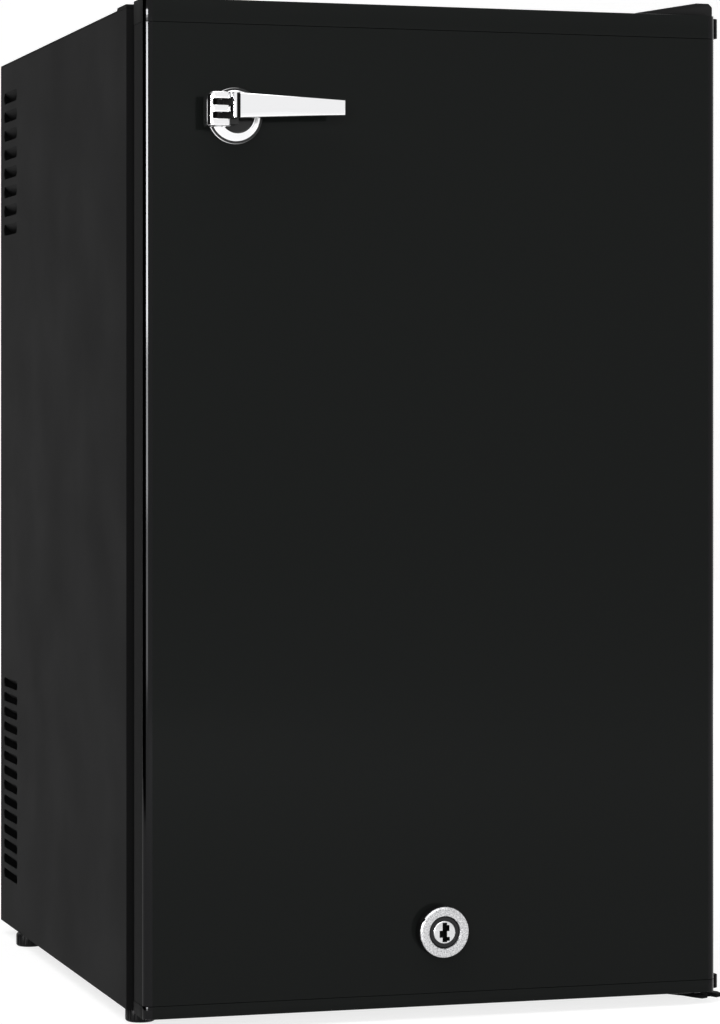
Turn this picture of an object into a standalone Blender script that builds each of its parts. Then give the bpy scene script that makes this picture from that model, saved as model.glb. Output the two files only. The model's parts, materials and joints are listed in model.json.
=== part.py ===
"""Minibar refrigerator, 45 litre class, built as separate pieces with real joints.

Metres, +Z up, floor at z = 0, front towards -Y. Sizes called "y" are measured
back from the cabinet's front flange; the empty called cabinet_frame puts that
flange in place, so that the part stands centred on its origin.
"""

import math

import bmesh
import bpy
from mathutils import Matrix

# Fits and sheets
GAP = 0.0003                 # clearance between neighbouring pieces
SHEET = 0.0008               # steel sheet of cabinet and door
PLASTIC = 0.0015             # moulded walls

# Cabinet shell
CABINET_WIDTH = 0.402
SIDE_HEIGHT = 0.6545
SIDE_DEPTH = 0.429
FLOOR_GAP = 0.0095           # floor to the side panels' bottom edge
FLANGE_WIDTH = 0.030         # front frame seen when the door is open
REAR_FLANGE = 0.015
RAIL_HEIGHT = 0.020          # rails across the open back
BAND_DEPTH = 0.026           # raised band along the front of the top panel
BAND_RISE = 0.0017
TOP_LIP = 0.040              # front lip of the top panel
SILL_HEIGHT = 0.030          # front lip of the base pan
REAR_PANEL_Y = 0.3553        # front face of the insulated box's rear wall
PAN_DEPTH = 0.385

# Ventilation louvres in the side panels
LOUVRE_REAR_Y = 0.4167
UPPER_SLOT_LENGTH = 0.051
UPPER_SLOT_HEIGHT = 0.0085
UPPER_SLOT_PITCH = 0.0143
UPPER_SLOT_COUNT = 8
UPPER_SLOT_TOP_DROP = 0.0263         # side's top edge to the highest slot
LOWER_SLOT_LENGTH = 0.052
LOWER_SLOT_HEIGHT = 0.007
LOWER_SLOT_PITCH = 0.01119
LOWER_SLOT_COUNT = 14
LOWER_SLOT_TOP_Z = 0.1932
BLADE_REACH = 0.007          # how far a louvre blade is pressed inwards

# Inner box
WALL_WIDTH = 0.0318          # cabinet side to cavity side
CAVITY_FLOOR_Z = 0.0417
CAVITY_CEILING_DROP = 0.042
CAVITY_DEPTH = 0.318
CAVITY_ROUND = 0.010
LINER_LIP = 0.0115           # lip tucked behind the front frame
LEDGE_REACH = 0.006
LEDGE_HEIGHT = 0.008
LEDGE_FRONT_Y = 0.110
LEDGE_LENGTH = 0.190
LEDGE_FIRST_Z = 0.150
LEDGE_HEADROOM = 0.142       # highest ledge to the ceiling
LEDGE_COUNT = 4

# Shelves
SHELF_WIRE = 0.0018
SHELF_BAR = 0.0026
SHELF_SIDE_GAP = 0.0022
SHELF_FRONT_Y = 0.097
SHELF_REAR_GAP = 0.018       # shelf to the cavity's rear wall
SHELF_WIRE_COUNT = 11
SHELF_LEVELS = (0, 2)        # ledges that carry the lower and the upper shelf

# Cooling plate inside the cavity
COOLER_INSET = 0.0592        # cavity side to cold plate
COOLER_BOTTOM_DROP = 0.122
COOLER_HEIGHT = 0.090
COOLER_FIN_DEPTH = 0.022
COOLER_FIN_COUNT = 15
COOLER_FIN = 0.0015
COOLER_PLATE = 0.004
STEM_HALF_WIDTH = 0.045
STEM_HEIGHT = 0.040
GUTTER_DEPTH = 0.034
GUTTER_HEIGHT = 0.016

# Controls at the cavity's ceiling
CONTROL_WIDTH = 0.150
CONTROL_DEPTH = 0.060
CONTROL_HEIGHT = 0.032
CONTROL_FRONT_Y = 0.150
DIAL_RADIUS = 0.0115
DIAL_DEPTH = 0.011
DIAL_X = -0.045
LAMP_WIDTH = 0.050
LAMP_DROP = 0.006

# Door
DOOR_INSET = 0.003           # door side to cabinet side
DOOR_FRONT_Y = -0.037
DOOR_ROUND = 0.006
SKIN_REAR_Y = -0.010
CAP_REAR_Y = -0.0065
CAP_TOP_HEIGHT = 0.0155
CAP_BOTTOM_HEIGHT = 0.0083
DOOR_BOTTOM_Z = 0.0083
DOOR_RISE = 0.0025           # door's top above the side panels
LUG_REACH = 0.0055
LUG_LENGTH = 0.014
LUG_TOP_HEIGHT = 0.0132
LUG_BOTTOM_HEIGHT = 0.0090
LUG_INSET = 0.0008          # lug's end drawn in from the door's end
PLUG_INSET = 0.038           # door side to plug side
PLUG_BOTTOM_Z = 0.084
PLUG_TOP_DROP = 0.0605
PLUG_REAR_Y = 0.006
PLUG_ROUND = 0.008
DYKE_INSET = 0.064           # door side to dyke's inner face
DYKE_WIDTH = 0.014
DYKE_REACH = 0.039
GASKET_INSET = 0.010
GASKET_WIDTH = 0.014
GASKET_BOTTOM_Z = 0.020
GASKET_TOP_DROP = 0.0165
RACK_DEPTH = 0.0787
RACK_SHARES = (0.021, 0.395, 0.720)   # rack bottoms as shares of the plug's height
RACK_HEIGHTS = (0.070, 0.055, 0.050)

# Hinges
HINGE_INSET = 0.011          # hinge line to cabinet side
HINGE_Y = -0.020
PIN_RADIUS = 0.003
BUSH_WALL = 0.0022
HINGE_PLATE = 0.0025
HINGE_PLATE_REAR_Y = 0.050
BRACKET_Z = 0.0031           # underside of the lower bracket's nose
BRACKET_LEFT = 0.0183        # bracket's left edge to the hinge line
BRACKET_LOBE = 0.016         # hinge line to the stop lobe's edge
BRACKET_WEB_Y = 0.008        # rear face of the bracket's joggle
NOSE_Y = -0.032
COVER_LEFT = 0.0454          # cover's low left edge to the hinge line
COVER_INSET = 0.0012         # cover's right side to the cabinet side
COVER_FLAT = 0.0115          # width of its flat top with the rounded edge
COVER_NOSE_Y = -0.0255
COVER_EDGE = 0.0014          # height of the cover's low left edge
COVER_ROUND = 0.0025
COVER_HEIGHT = 0.0095         # cover's top above the door
COVER_REAR_Y = 0.056

# Feet
FOOT_RADIUS = 0.010
FRONT_FOOT_INSET = 0.012     # front foot's axis to cabinet side
FRONT_FOOT_Y = 0.011
RIGHT_FOOT_Y = 0.0195        # behind the lower bracket's joggle
REAR_FOOT_INSET = 0.0075
REAR_FOOT_Y = 0.355

# Handle
BOSS_INSET = 0.060           # door side to boss
BOSS_DROP = 0.0755
BOSS_RADIUS = 0.0183
BOSS_REACH = 0.009
KNUCKLE_RADIUS = 0.0073
KNUCKLE_DROP = 0.0084         # knuckle's lower edge under the boss's centre
KNUCKLE_HEIGHT = 0.0218
RIB_HEIGHT = 0.0044
PIVOT_OFFSET = 0.0154        # pivot left of the boss
PIVOT_Y = -0.0587
PIVOT_RADIUS = 0.0021
EYE_RADIUS = 0.0060
LEVER_GAP = 0.0005           # lever's root to the knuckle
LEVER_GROOVE_INSET = 0.0054  # lever's root to its cross groove
LEVER_GROOVE = 0.0013
LEVER_LENGTH = 0.0751
LEVER_ROOT_HEIGHT = 0.0166
LEVER_TIP_HEIGHT = 0.0096
LEVER_RISE = 0.005
LEVER_THICKNESS = 0.0055

# Lock
LOCK_X = 0.002
LOCK_Z = 0.058
LOCK_RADIUS = 0.0168
LOCK_REACH = 0.0113
LOCK_RING_WALL = 0.0066
BARREL_WALL = 0.0021
CORE_RADIUS = 0.0075
CORE_RECESS = 0.0008
KEYWAY_LENGTH = 0.0125
KEYWAY_WIDTH = 0.0030
KEYWAY_DEPTH = 0.006
NUT_RADIUS = 0.0165
NUT_THICKNESS = 0.004
CAM_Y = 0.005
CAM_THICKNESS = 0.002
CAM_LENGTH = 0.0135
CAM_WIDTH = 0.011
STRIKE_TOP_Z = 0.050
STRIKE_WIDTH = 0.040

# Absorption cooling unit behind the insulated box
UNIT_Y = 0.394               # plane of the pipes
BOILER_INSET = 0.071         # boiler's axis to cabinet side
BOILER_RADIUS = 0.029
BOILER_BOTTOM_Z = 0.140
BOILER_HEAD = 0.142           # condenser's level above the boiler jacket
PIPE_RADIUS = 0.006
THIN_PIPE_RADIUS = 0.004
CONDENSER_DROP = 0.052
CONDENSER_FALL = 0.012
CONDENSER_INSET = 0.071
CONDENSER_FIN = 0.0007
CONDENSER_FIN_SIZE = 0.046
CONDENSER_FIN_PITCH = 0.0125
CONDENSER_FIN_COUNT = 16
TANK_RADIUS = 0.026
TANK_LENGTH = 0.210
TANK_X = -0.050
TANK_Z = 0.088
COIL_TOP_DROP = 0.224
COIL_PASSES = 6
COIL_FOOT = 0.164             # height of the coil's last pass
COIL_HALF_WIDTH = 0.085
COIL_X = -0.050
BOX_WIDTH = 0.070
BOX_DEPTH = 0.042
BOX_HEIGHT = 0.062
BOX_INSET = 0.071

# Values that follow from the sizes above
HALF = CABINET_WIDTH / 2
CAVITY_HALF_WIDTH = HALF - WALL_WIDTH
DOOR_HALF_WIDTH = HALF - DOOR_INSET
PLUG_HALF_WIDTH = DOOR_HALF_WIDTH - PLUG_INSET
DYKE_INNER_X = DOOR_HALF_WIDTH - DYKE_INSET
GASKET_HALF_WIDTH = DOOR_HALF_WIDTH - GASKET_INSET
COOLER_HALF_WIDTH = CAVITY_HALF_WIDTH - COOLER_INSET
BOSS_X = BOSS_INSET - DOOR_HALF_WIDTH
PIVOT_X = BOSS_X - PIVOT_OFFSET
BOILER_X = HALF - BOILER_INSET
CONDENSER_LEFT_X = CONDENSER_INSET - HALF
BOX_X = HALF - BOX_INSET
LUG_X = DOOR_HALF_WIDTH + LUG_REACH
HINGE_X = HALF - HINGE_INSET
FRONT_FOOT_X = HALF - FRONT_FOOT_INSET
REAR_FOOT_X = HALF - REAR_FOOT_INSET
SIDE_TOP_Z = FLOOR_GAP + SIDE_HEIGHT
UPPER_SLOT_TOP_Z = SIDE_TOP_Z - UPPER_SLOT_TOP_DROP
CAVITY_CEILING_Z = SIDE_TOP_Z - CAVITY_CEILING_DROP
COOLER_BOTTOM_Z = CAVITY_CEILING_Z - COOLER_BOTTOM_DROP
CONDENSER_Z = SIDE_TOP_Z - CONDENSER_DROP
COIL_TOP_Z = SIDE_TOP_Z - COIL_TOP_DROP
SHELF_DEPTH = CAVITY_DEPTH - SHELF_REAR_GAP - SHELF_FRONT_Y
LEDGE_PITCH = (CAVITY_CEILING_Z - LEDGE_HEADROOM - LEDGE_FIRST_Z) / (LEDGE_COUNT - 1)
COIL_PITCH = (COIL_TOP_Z - COIL_FOOT) / COIL_PASSES
BOILER_HEIGHT = CONDENSER_Z - BOILER_HEAD - BOILER_BOTTOM_Z
DOOR_TOP_Z = SIDE_TOP_Z + DOOR_RISE
COVER_TOP_Z = DOOR_TOP_Z + COVER_HEIGHT
PLUG_TOP_Z = DOOR_TOP_Z - PLUG_TOP_DROP
GASKET_TOP_Z = DOOR_TOP_Z - GASKET_TOP_DROP
BOSS_Z = DOOR_TOP_Z - BOSS_DROP
KNUCKLE_Z = BOSS_Z - KNUCKLE_DROP
LEVER_Z = BOSS_Z + LEVER_RISE
INSIDE_X = HALF - SHEET - GAP
KNUCKLE_FRONT_Y = PIVOT_Y - KNUCKLE_RADIUS
LEVER_FRONT_Y = KNUCKLE_FRONT_Y + GAP
LEVER_ROOT_X = PIVOT_X + KNUCKLE_RADIUS + LEVER_GAP
LEVER_GROOVE_X = LEVER_ROOT_X + LEVER_GROOVE_INSET
LEVER_TIP_X = LEVER_ROOT_X + LEVER_LENGTH
FLANGE_Y = -(SIDE_DEPTH + KNUCKLE_FRONT_Y) / 2
PAN_Z = FLOOR_GAP + SHEET + GAP
ROOF_Z = SIDE_TOP_Z - SHEET
SKIN_BOTTOM_Z = DOOR_BOTTOM_Z + CAP_BOTTOM_HEIGHT + GAP
SKIN_TOP_Z = DOOR_TOP_Z - CAP_TOP_HEIGHT - GAP
RIM_Y = SKIN_REAR_Y - PLASTIC


def clear_scene():
    """Remove whatever the open scene holds."""
    for item in list(bpy.data.objects):
        bpy.data.objects.remove(item, do_unlink=True)


def new_collection(name):
    """Make a collection under the scene."""
    group = bpy.data.collections.new(name)
    bpy.context.scene.collection.children.link(group)
    return group


def material(name, colour, roughness, metallic=0.0):
    """Make a Principled BSDF material."""
    made = bpy.data.materials.new(name)
    made.use_nodes = True
    shader = made.node_tree.nodes["Principled BSDF"]
    shader.inputs["Base Color"].default_value = (*colour, 1.0)
    shader.inputs["Roughness"].default_value = roughness
    shader.inputs["Metallic"].default_value = metallic
    made.diffuse_color = (*colour, 1.0)
    return made


def paint_materials():
    """All the finishes of the fridge, by name."""
    return {
        "black_paint": material("black_paint", (0.020, 0.020, 0.021), 0.45),
        "black_gloss": material("black_gloss", (0.013, 0.014, 0.014), 0.20),
        "black_plastic": material("black_plastic", (0.012, 0.012, 0.012), 0.40),
        "grey_plastic": material("grey_plastic", (0.62, 0.63, 0.63), 0.45),
        "white_plastic": material("white_plastic", (0.80, 0.80, 0.79), 0.40),
        "clear_plastic": material("clear_plastic", (0.75, 0.78, 0.80), 0.15),
        "foam": material("foam", (0.78, 0.70, 0.48), 0.90),
        "gasket_rubber": material("gasket_rubber", (0.045, 0.045, 0.047), 0.60),
        "chrome": material("chrome", (0.80, 0.80, 0.81), 0.08, 1.0),
        "lock_metal": material("lock_metal", (0.55, 0.55, 0.56), 0.25, 1.0),
        "zinc_steel": material("zinc_steel", (0.50, 0.51, 0.52), 0.35, 1.0),
        "aluminium": material("aluminium", (0.72, 0.73, 0.74), 0.40, 1.0),
        "white_wire": material("white_wire", (0.78, 0.78, 0.77), 0.35),
        "pipe_paint": material("pipe_paint", (0.025, 0.025, 0.026), 0.50),
    }


class Builder:
    """Places pieces and cutters under the right empties and collections."""

    def __init__(self):
        self.parts = new_collection("minibar_fridge")
        self.cutters = new_collection("cutters")
        self.paints = paint_materials()
        self.bases = {}

    def base(self, name, place, under=None):
        """An empty that carries the pieces of one body."""
        empty = bpy.data.objects.new(name, None)
        empty.empty_display_size = 0.03
        self.parts.objects.link(empty)
        origin = self.bases[under][1] if under else (0.0, 0.0, 0.0)
        if under:
            empty.parent = self.bases[under][0]
        empty.location = [a - b for a, b in zip(place, origin)]
        self.bases[name] = (empty, place)

    def put(self, item, paint, base="cabinet_frame"):
        """Give a piece its finish and hang it under its body's empty."""
        item.data.materials.clear()
        item.data.materials.append(self.paints[paint])
        self.hang(item, base)
        return item

    def hang(self, item, base):
        """Parent an item without moving it."""
        empty, place = self.bases[base]
        item.parent = empty
        item.location = [a - b for a, b in zip(item.location, place)]

    def as_cutter(self, item):
        """Hide a cutter from render and hang it in the cabinet's frame."""
        self.parts.objects.unlink(item)
        self.cutters.objects.link(item)
        item.hide_render = True
        item.display_type = "WIRE"
        self.hang(item, "cabinet_frame")
        return item

    def mesh_object(self, name, mesh, centre=(0.0, 0.0, 0.0)):
        """Wrap a mesh in an object."""
        item = bpy.data.objects.new(name, mesh)
        item.location = centre
        self.parts.objects.link(item)
        return item

    def box(self, name, low, high):
        """A box between two corners."""
        size = [b - a for a, b in zip(low, high)]
        centre = [(a + b) / 2 for a, b in zip(low, high)]
        work = bmesh.new()
        bmesh.ops.create_cube(work, size=1.0, matrix=Matrix.Diagonal((*size, 1.0)))
        return self.mesh_object(name, self.finish(name, work), centre)

    def finish(self, name, work):
        """Write a bmesh into a new mesh."""
        mesh = bpy.data.meshes.new(name)
        work.to_mesh(mesh)
        work.free()
        return mesh

    def rod(self, name, radius, start, length, axis="Z", sides=24, end_radius=None):
        """A cylinder, cone or prism from a start point along an axis."""
        turn = {
            "X": Matrix.Rotation(math.radians(90), 4, "Y"),
            "Y": Matrix.Rotation(math.radians(-90), 4, "X"),
            "Z": Matrix.Identity(4),
        }[axis]
        step = {"X": (1, 0, 0), "Y": (0, 1, 0), "Z": (0, 0, 1)}[axis]
        far = radius if end_radius is None else end_radius
        work = bmesh.new()
        bmesh.ops.create_cone(
            work, cap_ends=True, segments=sides, radius1=radius, radius2=far,
            depth=length, matrix=turn)
        centre = [a + s * length / 2 for a, s in zip(start, step)]
        item = self.mesh_object(name, self.finish(name, work), centre)
        shade_round(item)
        return item

    def turned(self, name, profile, centre, axis="Z", steps=32):
        """A turned piece: (radius, height) points down its outer side."""
        mesh = bpy.data.meshes.new(name)
        points = [(radius, 0.0, height) for radius, height in profile]
        edges = [(i, i + 1) for i in range(len(points) - 1)]
        mesh.from_pydata(points, edges, [])
        item = self.mesh_object(name, mesh, centre)
        screw = item.modifiers.new("turn", "SCREW")
        screw.steps = steps
        screw.render_steps = steps
        screw.use_merge_vertices = True
        screw.merge_threshold = 0.00001
        if axis == "Y":
            item.rotation_euler = (math.radians(-90), 0.0, 0.0)
        return item

    def outline(self, name, loops, thickness, middle, plane="XY"):
        """A flat outline, with any holes as further loops, extruded to a plate.

        The plate's mid-plane crosses its normal axis at middle.
        """
        curve = bpy.data.curves.new(name, "CURVE")
        curve.dimensions = "2D"
        curve.fill_mode = "BOTH"
        curve.extrude = thickness / 2
        for loop in loops:
            spline = curve.splines.new("POLY")
            spline.points.add(len(loop) - 1)
            spline.use_cyclic_u = True
            for point, (u, v) in zip(spline.points, loop):
                point.co = (u, v, 0.0, 1.0)
        item = bpy.data.objects.new(name, curve)
        self.parts.objects.link(item)
        if plane == "XY":
            item.location = (0.0, 0.0, middle)
        if plane == "XZ":
            item.rotation_euler = (math.radians(90), 0.0, 0.0)
            item.location = (0.0, middle, 0.0)
        if plane == "YZ":
            item.rotation_euler = (math.radians(90), 0.0, math.radians(90))
            item.location = (middle, 0.0, 0.0)
        return self.solid(item)

    def tube(self, name, points, radius, closed=False, fineness=2):
        """A round wire or pipe along straight runs between points."""
        curve = bpy.data.curves.new(name, "CURVE")
        curve.dimensions = "3D"
        curve.bevel_depth = radius
        curve.bevel_resolution = fineness
        curve.render_resolution_u = 0
        curve.use_fill_caps = not closed
        spline = curve.splines.new("POLY")
        spline.points.add(len(points) - 1)
        spline.use_cyclic_u = closed
        for point, place in zip(spline.points, points):
            point.co = (*place, 1.0)
        item = bpy.data.objects.new(name, curve)
        self.parts.objects.link(item)
        return item

    def solid(self, item):
        """Turn a curve object, with its caps welded, into a mesh object."""
        bpy.context.view_layer.update()
        graph = bpy.context.evaluated_depsgraph_get()
        mesh = bpy.data.meshes.new_from_object(item.evaluated_get(graph))
        work = bmesh.new()
        work.from_mesh(mesh)
        bmesh.ops.remove_doubles(work, verts=work.verts, dist=0.000001)
        work.to_mesh(mesh)
        work.free()
        name = item.name
        place = item.matrix_world.copy()
        bpy.data.objects.remove(item, do_unlink=True)
        made = bpy.data.objects.new(name, mesh)
        made.matrix_world = place
        self.parts.objects.link(made)
        return made

    def combine(self, item, other, operation):
        """Add a Boolean that keeps the other piece as a live cutter."""
        self.as_cutter(other)
        change = item.modifiers.new(other.name, "BOOLEAN")
        change.operation = operation
        change.solver = "EXACT"
        change.object = other
        return item

    def cut(self, item, *others):
        """Take the others out of an item."""
        for other in others:
            self.combine(item, other, "DIFFERENCE")
        return item

    def join(self, item, *others):
        """Fuse the others with an item."""
        for other in others:
            self.combine(item, other, "UNION")
        return item


def shade_round(item, angle=40.0):
    """Shade a round piece smooth and keep its sharp rims."""
    item.data.shade_smooth()
    item.data.set_sharp_from_angle(angle=math.radians(angle))


def bevel(item, width, segments=2, angle=30.0):
    """Round an object's sharp edges."""
    change = item.modifiers.new("bevel", "BEVEL")
    change.width = width
    change.segments = segments
    change.limit_method = "ANGLE"
    change.angle_limit = math.radians(angle)
    return item


def repeat(item, count, step):
    """Repeat a cutter or a rib at an even pitch."""
    change = item.modifiers.new("array", "ARRAY")
    change.count = count
    change.use_relative_offset = False
    change.use_constant_offset = True
    change.constant_offset_displace = step
    return item


def arc(centre, radius, start, end, steps):
    """Points along an arc in degrees, both ends included."""
    points = []
    for i in range(steps + 1):
        angle = math.radians(start + (end - start) * i / steps)
        points.append((centre[0] + radius * math.cos(angle),
                       centre[1] + radius * math.sin(angle)))
    return points


def rectangle(left, low, right, high):
    """Corners of a rectangle, counter-clockwise."""
    return [(left, low), (right, low), (right, high), (left, high)]


def rounded(left, low, right, high, radius, steps=4):
    """A rectangle with round corners."""
    return (arc((right - radius, low + radius), radius, -90, 0, steps)
            + arc((right - radius, high - radius), radius, 0, 90, steps)
            + arc((left + radius, high - radius), radius, 90, 180, steps)
            + arc((left + radius, low + radius), radius, 180, 270, steps))


def circle(centre, radius, steps=24):
    """Points around a circle."""
    return arc(centre, radius, 0, 360 - 360 / steps, steps - 1)


def ribbon(path, thickness):
    """The outline of a sheet bent along a path, its thickness to the left."""
    inner = []
    for i, (x, y) in enumerate(path):
        before = path[max(i - 1, 0)]
        after = path[min(i + 1, len(path) - 1)]
        ways = []
        for start, end in ((before, (x, y)), ((x, y), after)):
            run = math.hypot(end[0] - start[0], end[1] - start[1])
            if run > 0:
                ways.append(((end[0] - start[0]) / run, (end[1] - start[1]) / run))
        first, last = ways[0], ways[-1]
        normal = (-(first[1] + last[1]), first[0] + last[0])
        size = math.hypot(*normal)
        normal = (normal[0] / size, normal[1] / size)
        spread = normal[0] * -first[1] + normal[1] * first[0]
        inner.append((x + normal[0] * thickness / spread,
                      y + normal[1] * thickness / spread))
    return path + inner[::-1]


# Cabinet shell


def slot_cutter(b, name, side, size):
    """A row of louvre slots through one side panel."""
    length, height, pitch, count, top_z = size
    rear = LOUVRE_REAR_Y
    low = top_z - (count - 1) * pitch - height / 2
    corner = height * 0.35
    shape = rounded(rear - length, low, rear, low + height, corner, 1)
    slot = b.outline(name, [shape], 3 * SHEET, side * (HALF - SHEET / 2), "YZ")
    return repeat(slot, count, (0.0, pitch, 0.0))


def blade_row(b, name, side, size):
    """The louvre blades pressed inwards from the slots' upper edges."""
    length, height, pitch, count, top_z = size
    low = top_z - (count - 1) * pitch + height / 2
    skin = side * (HALF - SHEET / 2)
    edge = side * (HALF - BLADE_REACH)
    drop = height * 0.8
    shape = [(skin, low + SHEET), (skin, low), (edge, low - drop), (edge, low - drop + SHEET)]
    middle = LOUVRE_REAR_Y - length / 2
    blade = b.outline(name, [shape], length, middle, "XZ")
    return repeat(blade, count, (0.0, pitch, 0.0))


def side_panel(b, name, side):
    """A folded side sheet with its front frame, rear flange and louvres."""
    path = [
        (side * (HALF - FLANGE_WIDTH), 0.0),
        (side * HALF, 0.0),
        (side * HALF, SIDE_DEPTH),
        (side * (HALF - REAR_FLANGE), SIDE_DEPTH),
    ]
    if side < 0:
        path.reverse()
    height = ROOF_Z - GAP - FLOOR_GAP
    panel = b.outline(name, [ribbon(path, SHEET)], height, FLOOR_GAP + height / 2)
    upper = (UPPER_SLOT_LENGTH, UPPER_SLOT_HEIGHT, UPPER_SLOT_PITCH,
             UPPER_SLOT_COUNT, UPPER_SLOT_TOP_Z)
    lower = (LOWER_SLOT_LENGTH, LOWER_SLOT_HEIGHT, LOWER_SLOT_PITCH,
             LOWER_SLOT_COUNT, LOWER_SLOT_TOP_Z)
    for row, size in (("upper", upper), ("lower", lower)):
        b.cut(panel, slot_cutter(b, name + "_slots_" + row, side, size))
        b.join(panel, blade_row(b, name + "_blades_" + row, side, size))
    return b.put(panel, "black_paint")


def top_panel(b):
    """The roof sheet, its raised front band and its front lip."""
    low, high = ROOF_Z, SIDE_TOP_Z
    section = [
        (0.0, low), (SIDE_DEPTH, low), (SIDE_DEPTH, high),
        (BAND_DEPTH + BAND_RISE, high), (BAND_DEPTH, high + BAND_RISE),
        (BAND_RISE / 2, high + BAND_RISE), (0.0, high + BAND_RISE / 2),
    ]
    roof = b.outline("top_panel", [section], CABINET_WIDTH, 0.0, "YZ")
    lip_x = HALF - FLANGE_WIDTH - GAP
    lip = b.box("top_lip", (-lip_x, 0.0, SIDE_TOP_Z - TOP_LIP), (lip_x, SHEET, high))
    return b.put(b.join(roof, lip), "black_paint")


def base_pan(b):
    """The floor sheet of the cabinet with its front sill."""
    top = PAN_Z + SHEET
    pan = b.box("base_pan", (-INSIDE_X, SHEET + GAP, PAN_Z), (INSIDE_X, PAN_DEPTH, top))
    sill_x = HALF - FLANGE_WIDTH - GAP
    section = [
        (0.0, FLOOR_GAP), (SHEET, FLOOR_GAP), (2 * SHEET, PAN_Z),
        (4 * SHEET, PAN_Z), (4 * SHEET, top), (SHEET, top),
        (SHEET, FLOOR_GAP + SILL_HEIGHT), (0.0, FLOOR_GAP + SILL_HEIGHT),
    ]
    sill = b.outline("base_sill", [section], 2 * sill_x, 0.0, "YZ")
    return b.put(b.join(pan, sill), "black_paint")


def cooler_stem(b, name, clearance, start, end):
    """The block of metal, or its hole, that carries cold through the wall."""
    x = STEM_HALF_WIDTH + clearance
    middle = COOLER_BOTTOM_Z + COOLER_HEIGHT / 2
    half = STEM_HEIGHT / 2 + clearance
    return b.box(name, (-x, start, middle - half), (x, end, middle + half))


def rear_panel(b):
    """The sheet that closes the back of the insulated box."""
    panel = b.box("rear_panel", (-INSIDE_X, REAR_PANEL_Y, PAN_Z + SHEET + GAP),
                  (INSIDE_X, REAR_PANEL_Y + SHEET, ROOF_Z - GAP))
    hole = cooler_stem(b, "rear_panel_hole", GAP, REAR_PANEL_Y - SHEET,
                       REAR_PANEL_Y + 2 * SHEET)
    return b.put(b.cut(panel, hole), "zinc_steel")


def liner_block(b, name, grow, start):
    """The inner box's round-cornered volume, grown by a wall on every side."""
    item = b.box(
        name,
        (-CAVITY_HALF_WIDTH - grow, start, CAVITY_FLOOR_Z - grow),
        (CAVITY_HALF_WIDTH + grow, CAVITY_DEPTH + grow, CAVITY_CEILING_Z + grow))
    return bevel(item, CAVITY_ROUND + grow, 3)


def insulation(b):
    """The foam between the cabinet's sheets and the inner box."""
    start = SHEET + PLASTIC + 2 * GAP
    foam = b.box("insulation", (-INSIDE_X, start, PAN_Z + SHEET + GAP),
                 (INSIDE_X, REAR_PANEL_Y - GAP, ROOF_Z - GAP))
    b.cut(foam, liner_block(b, "insulation_room", PLASTIC + GAP, -CAVITY_ROUND * 2),
          cooler_stem(b, "insulation_hole", GAP, CAVITY_DEPTH, REAR_PANEL_Y + SHEET))
    return b.put(foam, "foam")


def inner_liner(b):
    """The moulded inner box with its front lip and shelf ledges."""
    start = SHEET + GAP
    reach = LINER_LIP
    far = CAVITY_ROUND * 3
    liner = liner_block(b, "inner_liner", PLASTIC, -far)
    b.cut(liner, b.box("liner_trim", (-HALF, -2 * far, 0.0), (HALF, start, SIDE_TOP_Z)))
    lip = b.box(
        "liner_lip",
        (-CAVITY_HALF_WIDTH - reach, start, CAVITY_FLOOR_Z - reach),
        (CAVITY_HALF_WIDTH + reach, start + PLASTIC, CAVITY_CEILING_Z + reach))
    room = liner_block(b, "liner_room", 0.0, -CAVITY_ROUND * 2)
    b.join(liner, lip)
    b.cut(liner, room, cooler_stem(b, "liner_hole", GAP, CAVITY_DEPTH - PLASTIC,
                                   CAVITY_DEPTH + 2 * PLASTIC))
    for side in (-1, 1):
        x = sorted((side * (CAVITY_HALF_WIDTH + PLASTIC / 2),
                    side * (CAVITY_HALF_WIDTH - LEDGE_REACH)))
        low = (x[0], LEDGE_FRONT_Y, LEDGE_FIRST_Z)
        high = (x[1], LEDGE_FRONT_Y + LEDGE_LENGTH, LEDGE_FIRST_Z + LEDGE_HEIGHT)
        ledge = b.box("ledges_right" if side > 0 else "ledges_left", low, high)
        repeat(ledge, LEDGE_COUNT, (0.0, 0.0, LEDGE_PITCH))
        b.join(liner, ledge)
    return b.put(liner, "grey_plastic")


# Fittings inside the cavity


def shelf(b, name, level):
    """A welded wire shelf lying on one level of ledges."""
    rest = LEDGE_FIRST_Z + level * LEDGE_PITCH + LEDGE_HEIGHT + GAP
    half = CAVITY_HALF_WIDTH - SHELF_SIDE_GAP - SHELF_BAR
    front = SHELF_FRONT_Y
    rear = front + SHELF_DEPTH
    frame_z = rest + SHELF_BAR
    corners = [(half, front, frame_z), (half, rear, frame_z),
               (-half, rear, frame_z), (-half, front, frame_z)]
    frame = b.solid(b.tube(name, corners, SHELF_BAR, closed=True, fineness=1))
    wire_z = frame_z + SHELF_BAR
    pitch = 2 * half / (SHELF_WIRE_COUNT + 1)
    wire = b.solid(b.tube(name + "_wires", [
        (pitch - half, front - SHELF_WIRE, wire_z),
        (pitch - half, rear + SHELF_WIRE, wire_z)], SHELF_WIRE, fineness=1))
    repeat(wire, SHELF_WIRE_COUNT, (pitch, 0.0, 0.0))
    middle = (front + rear) / 2
    bar = b.solid(b.tube(name + "_bar", [
        (-half, middle, frame_z), (half, middle, frame_z)], SHELF_BAR, fineness=1))
    return b.put(b.join(frame, bar, wire), "white_wire")


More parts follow.
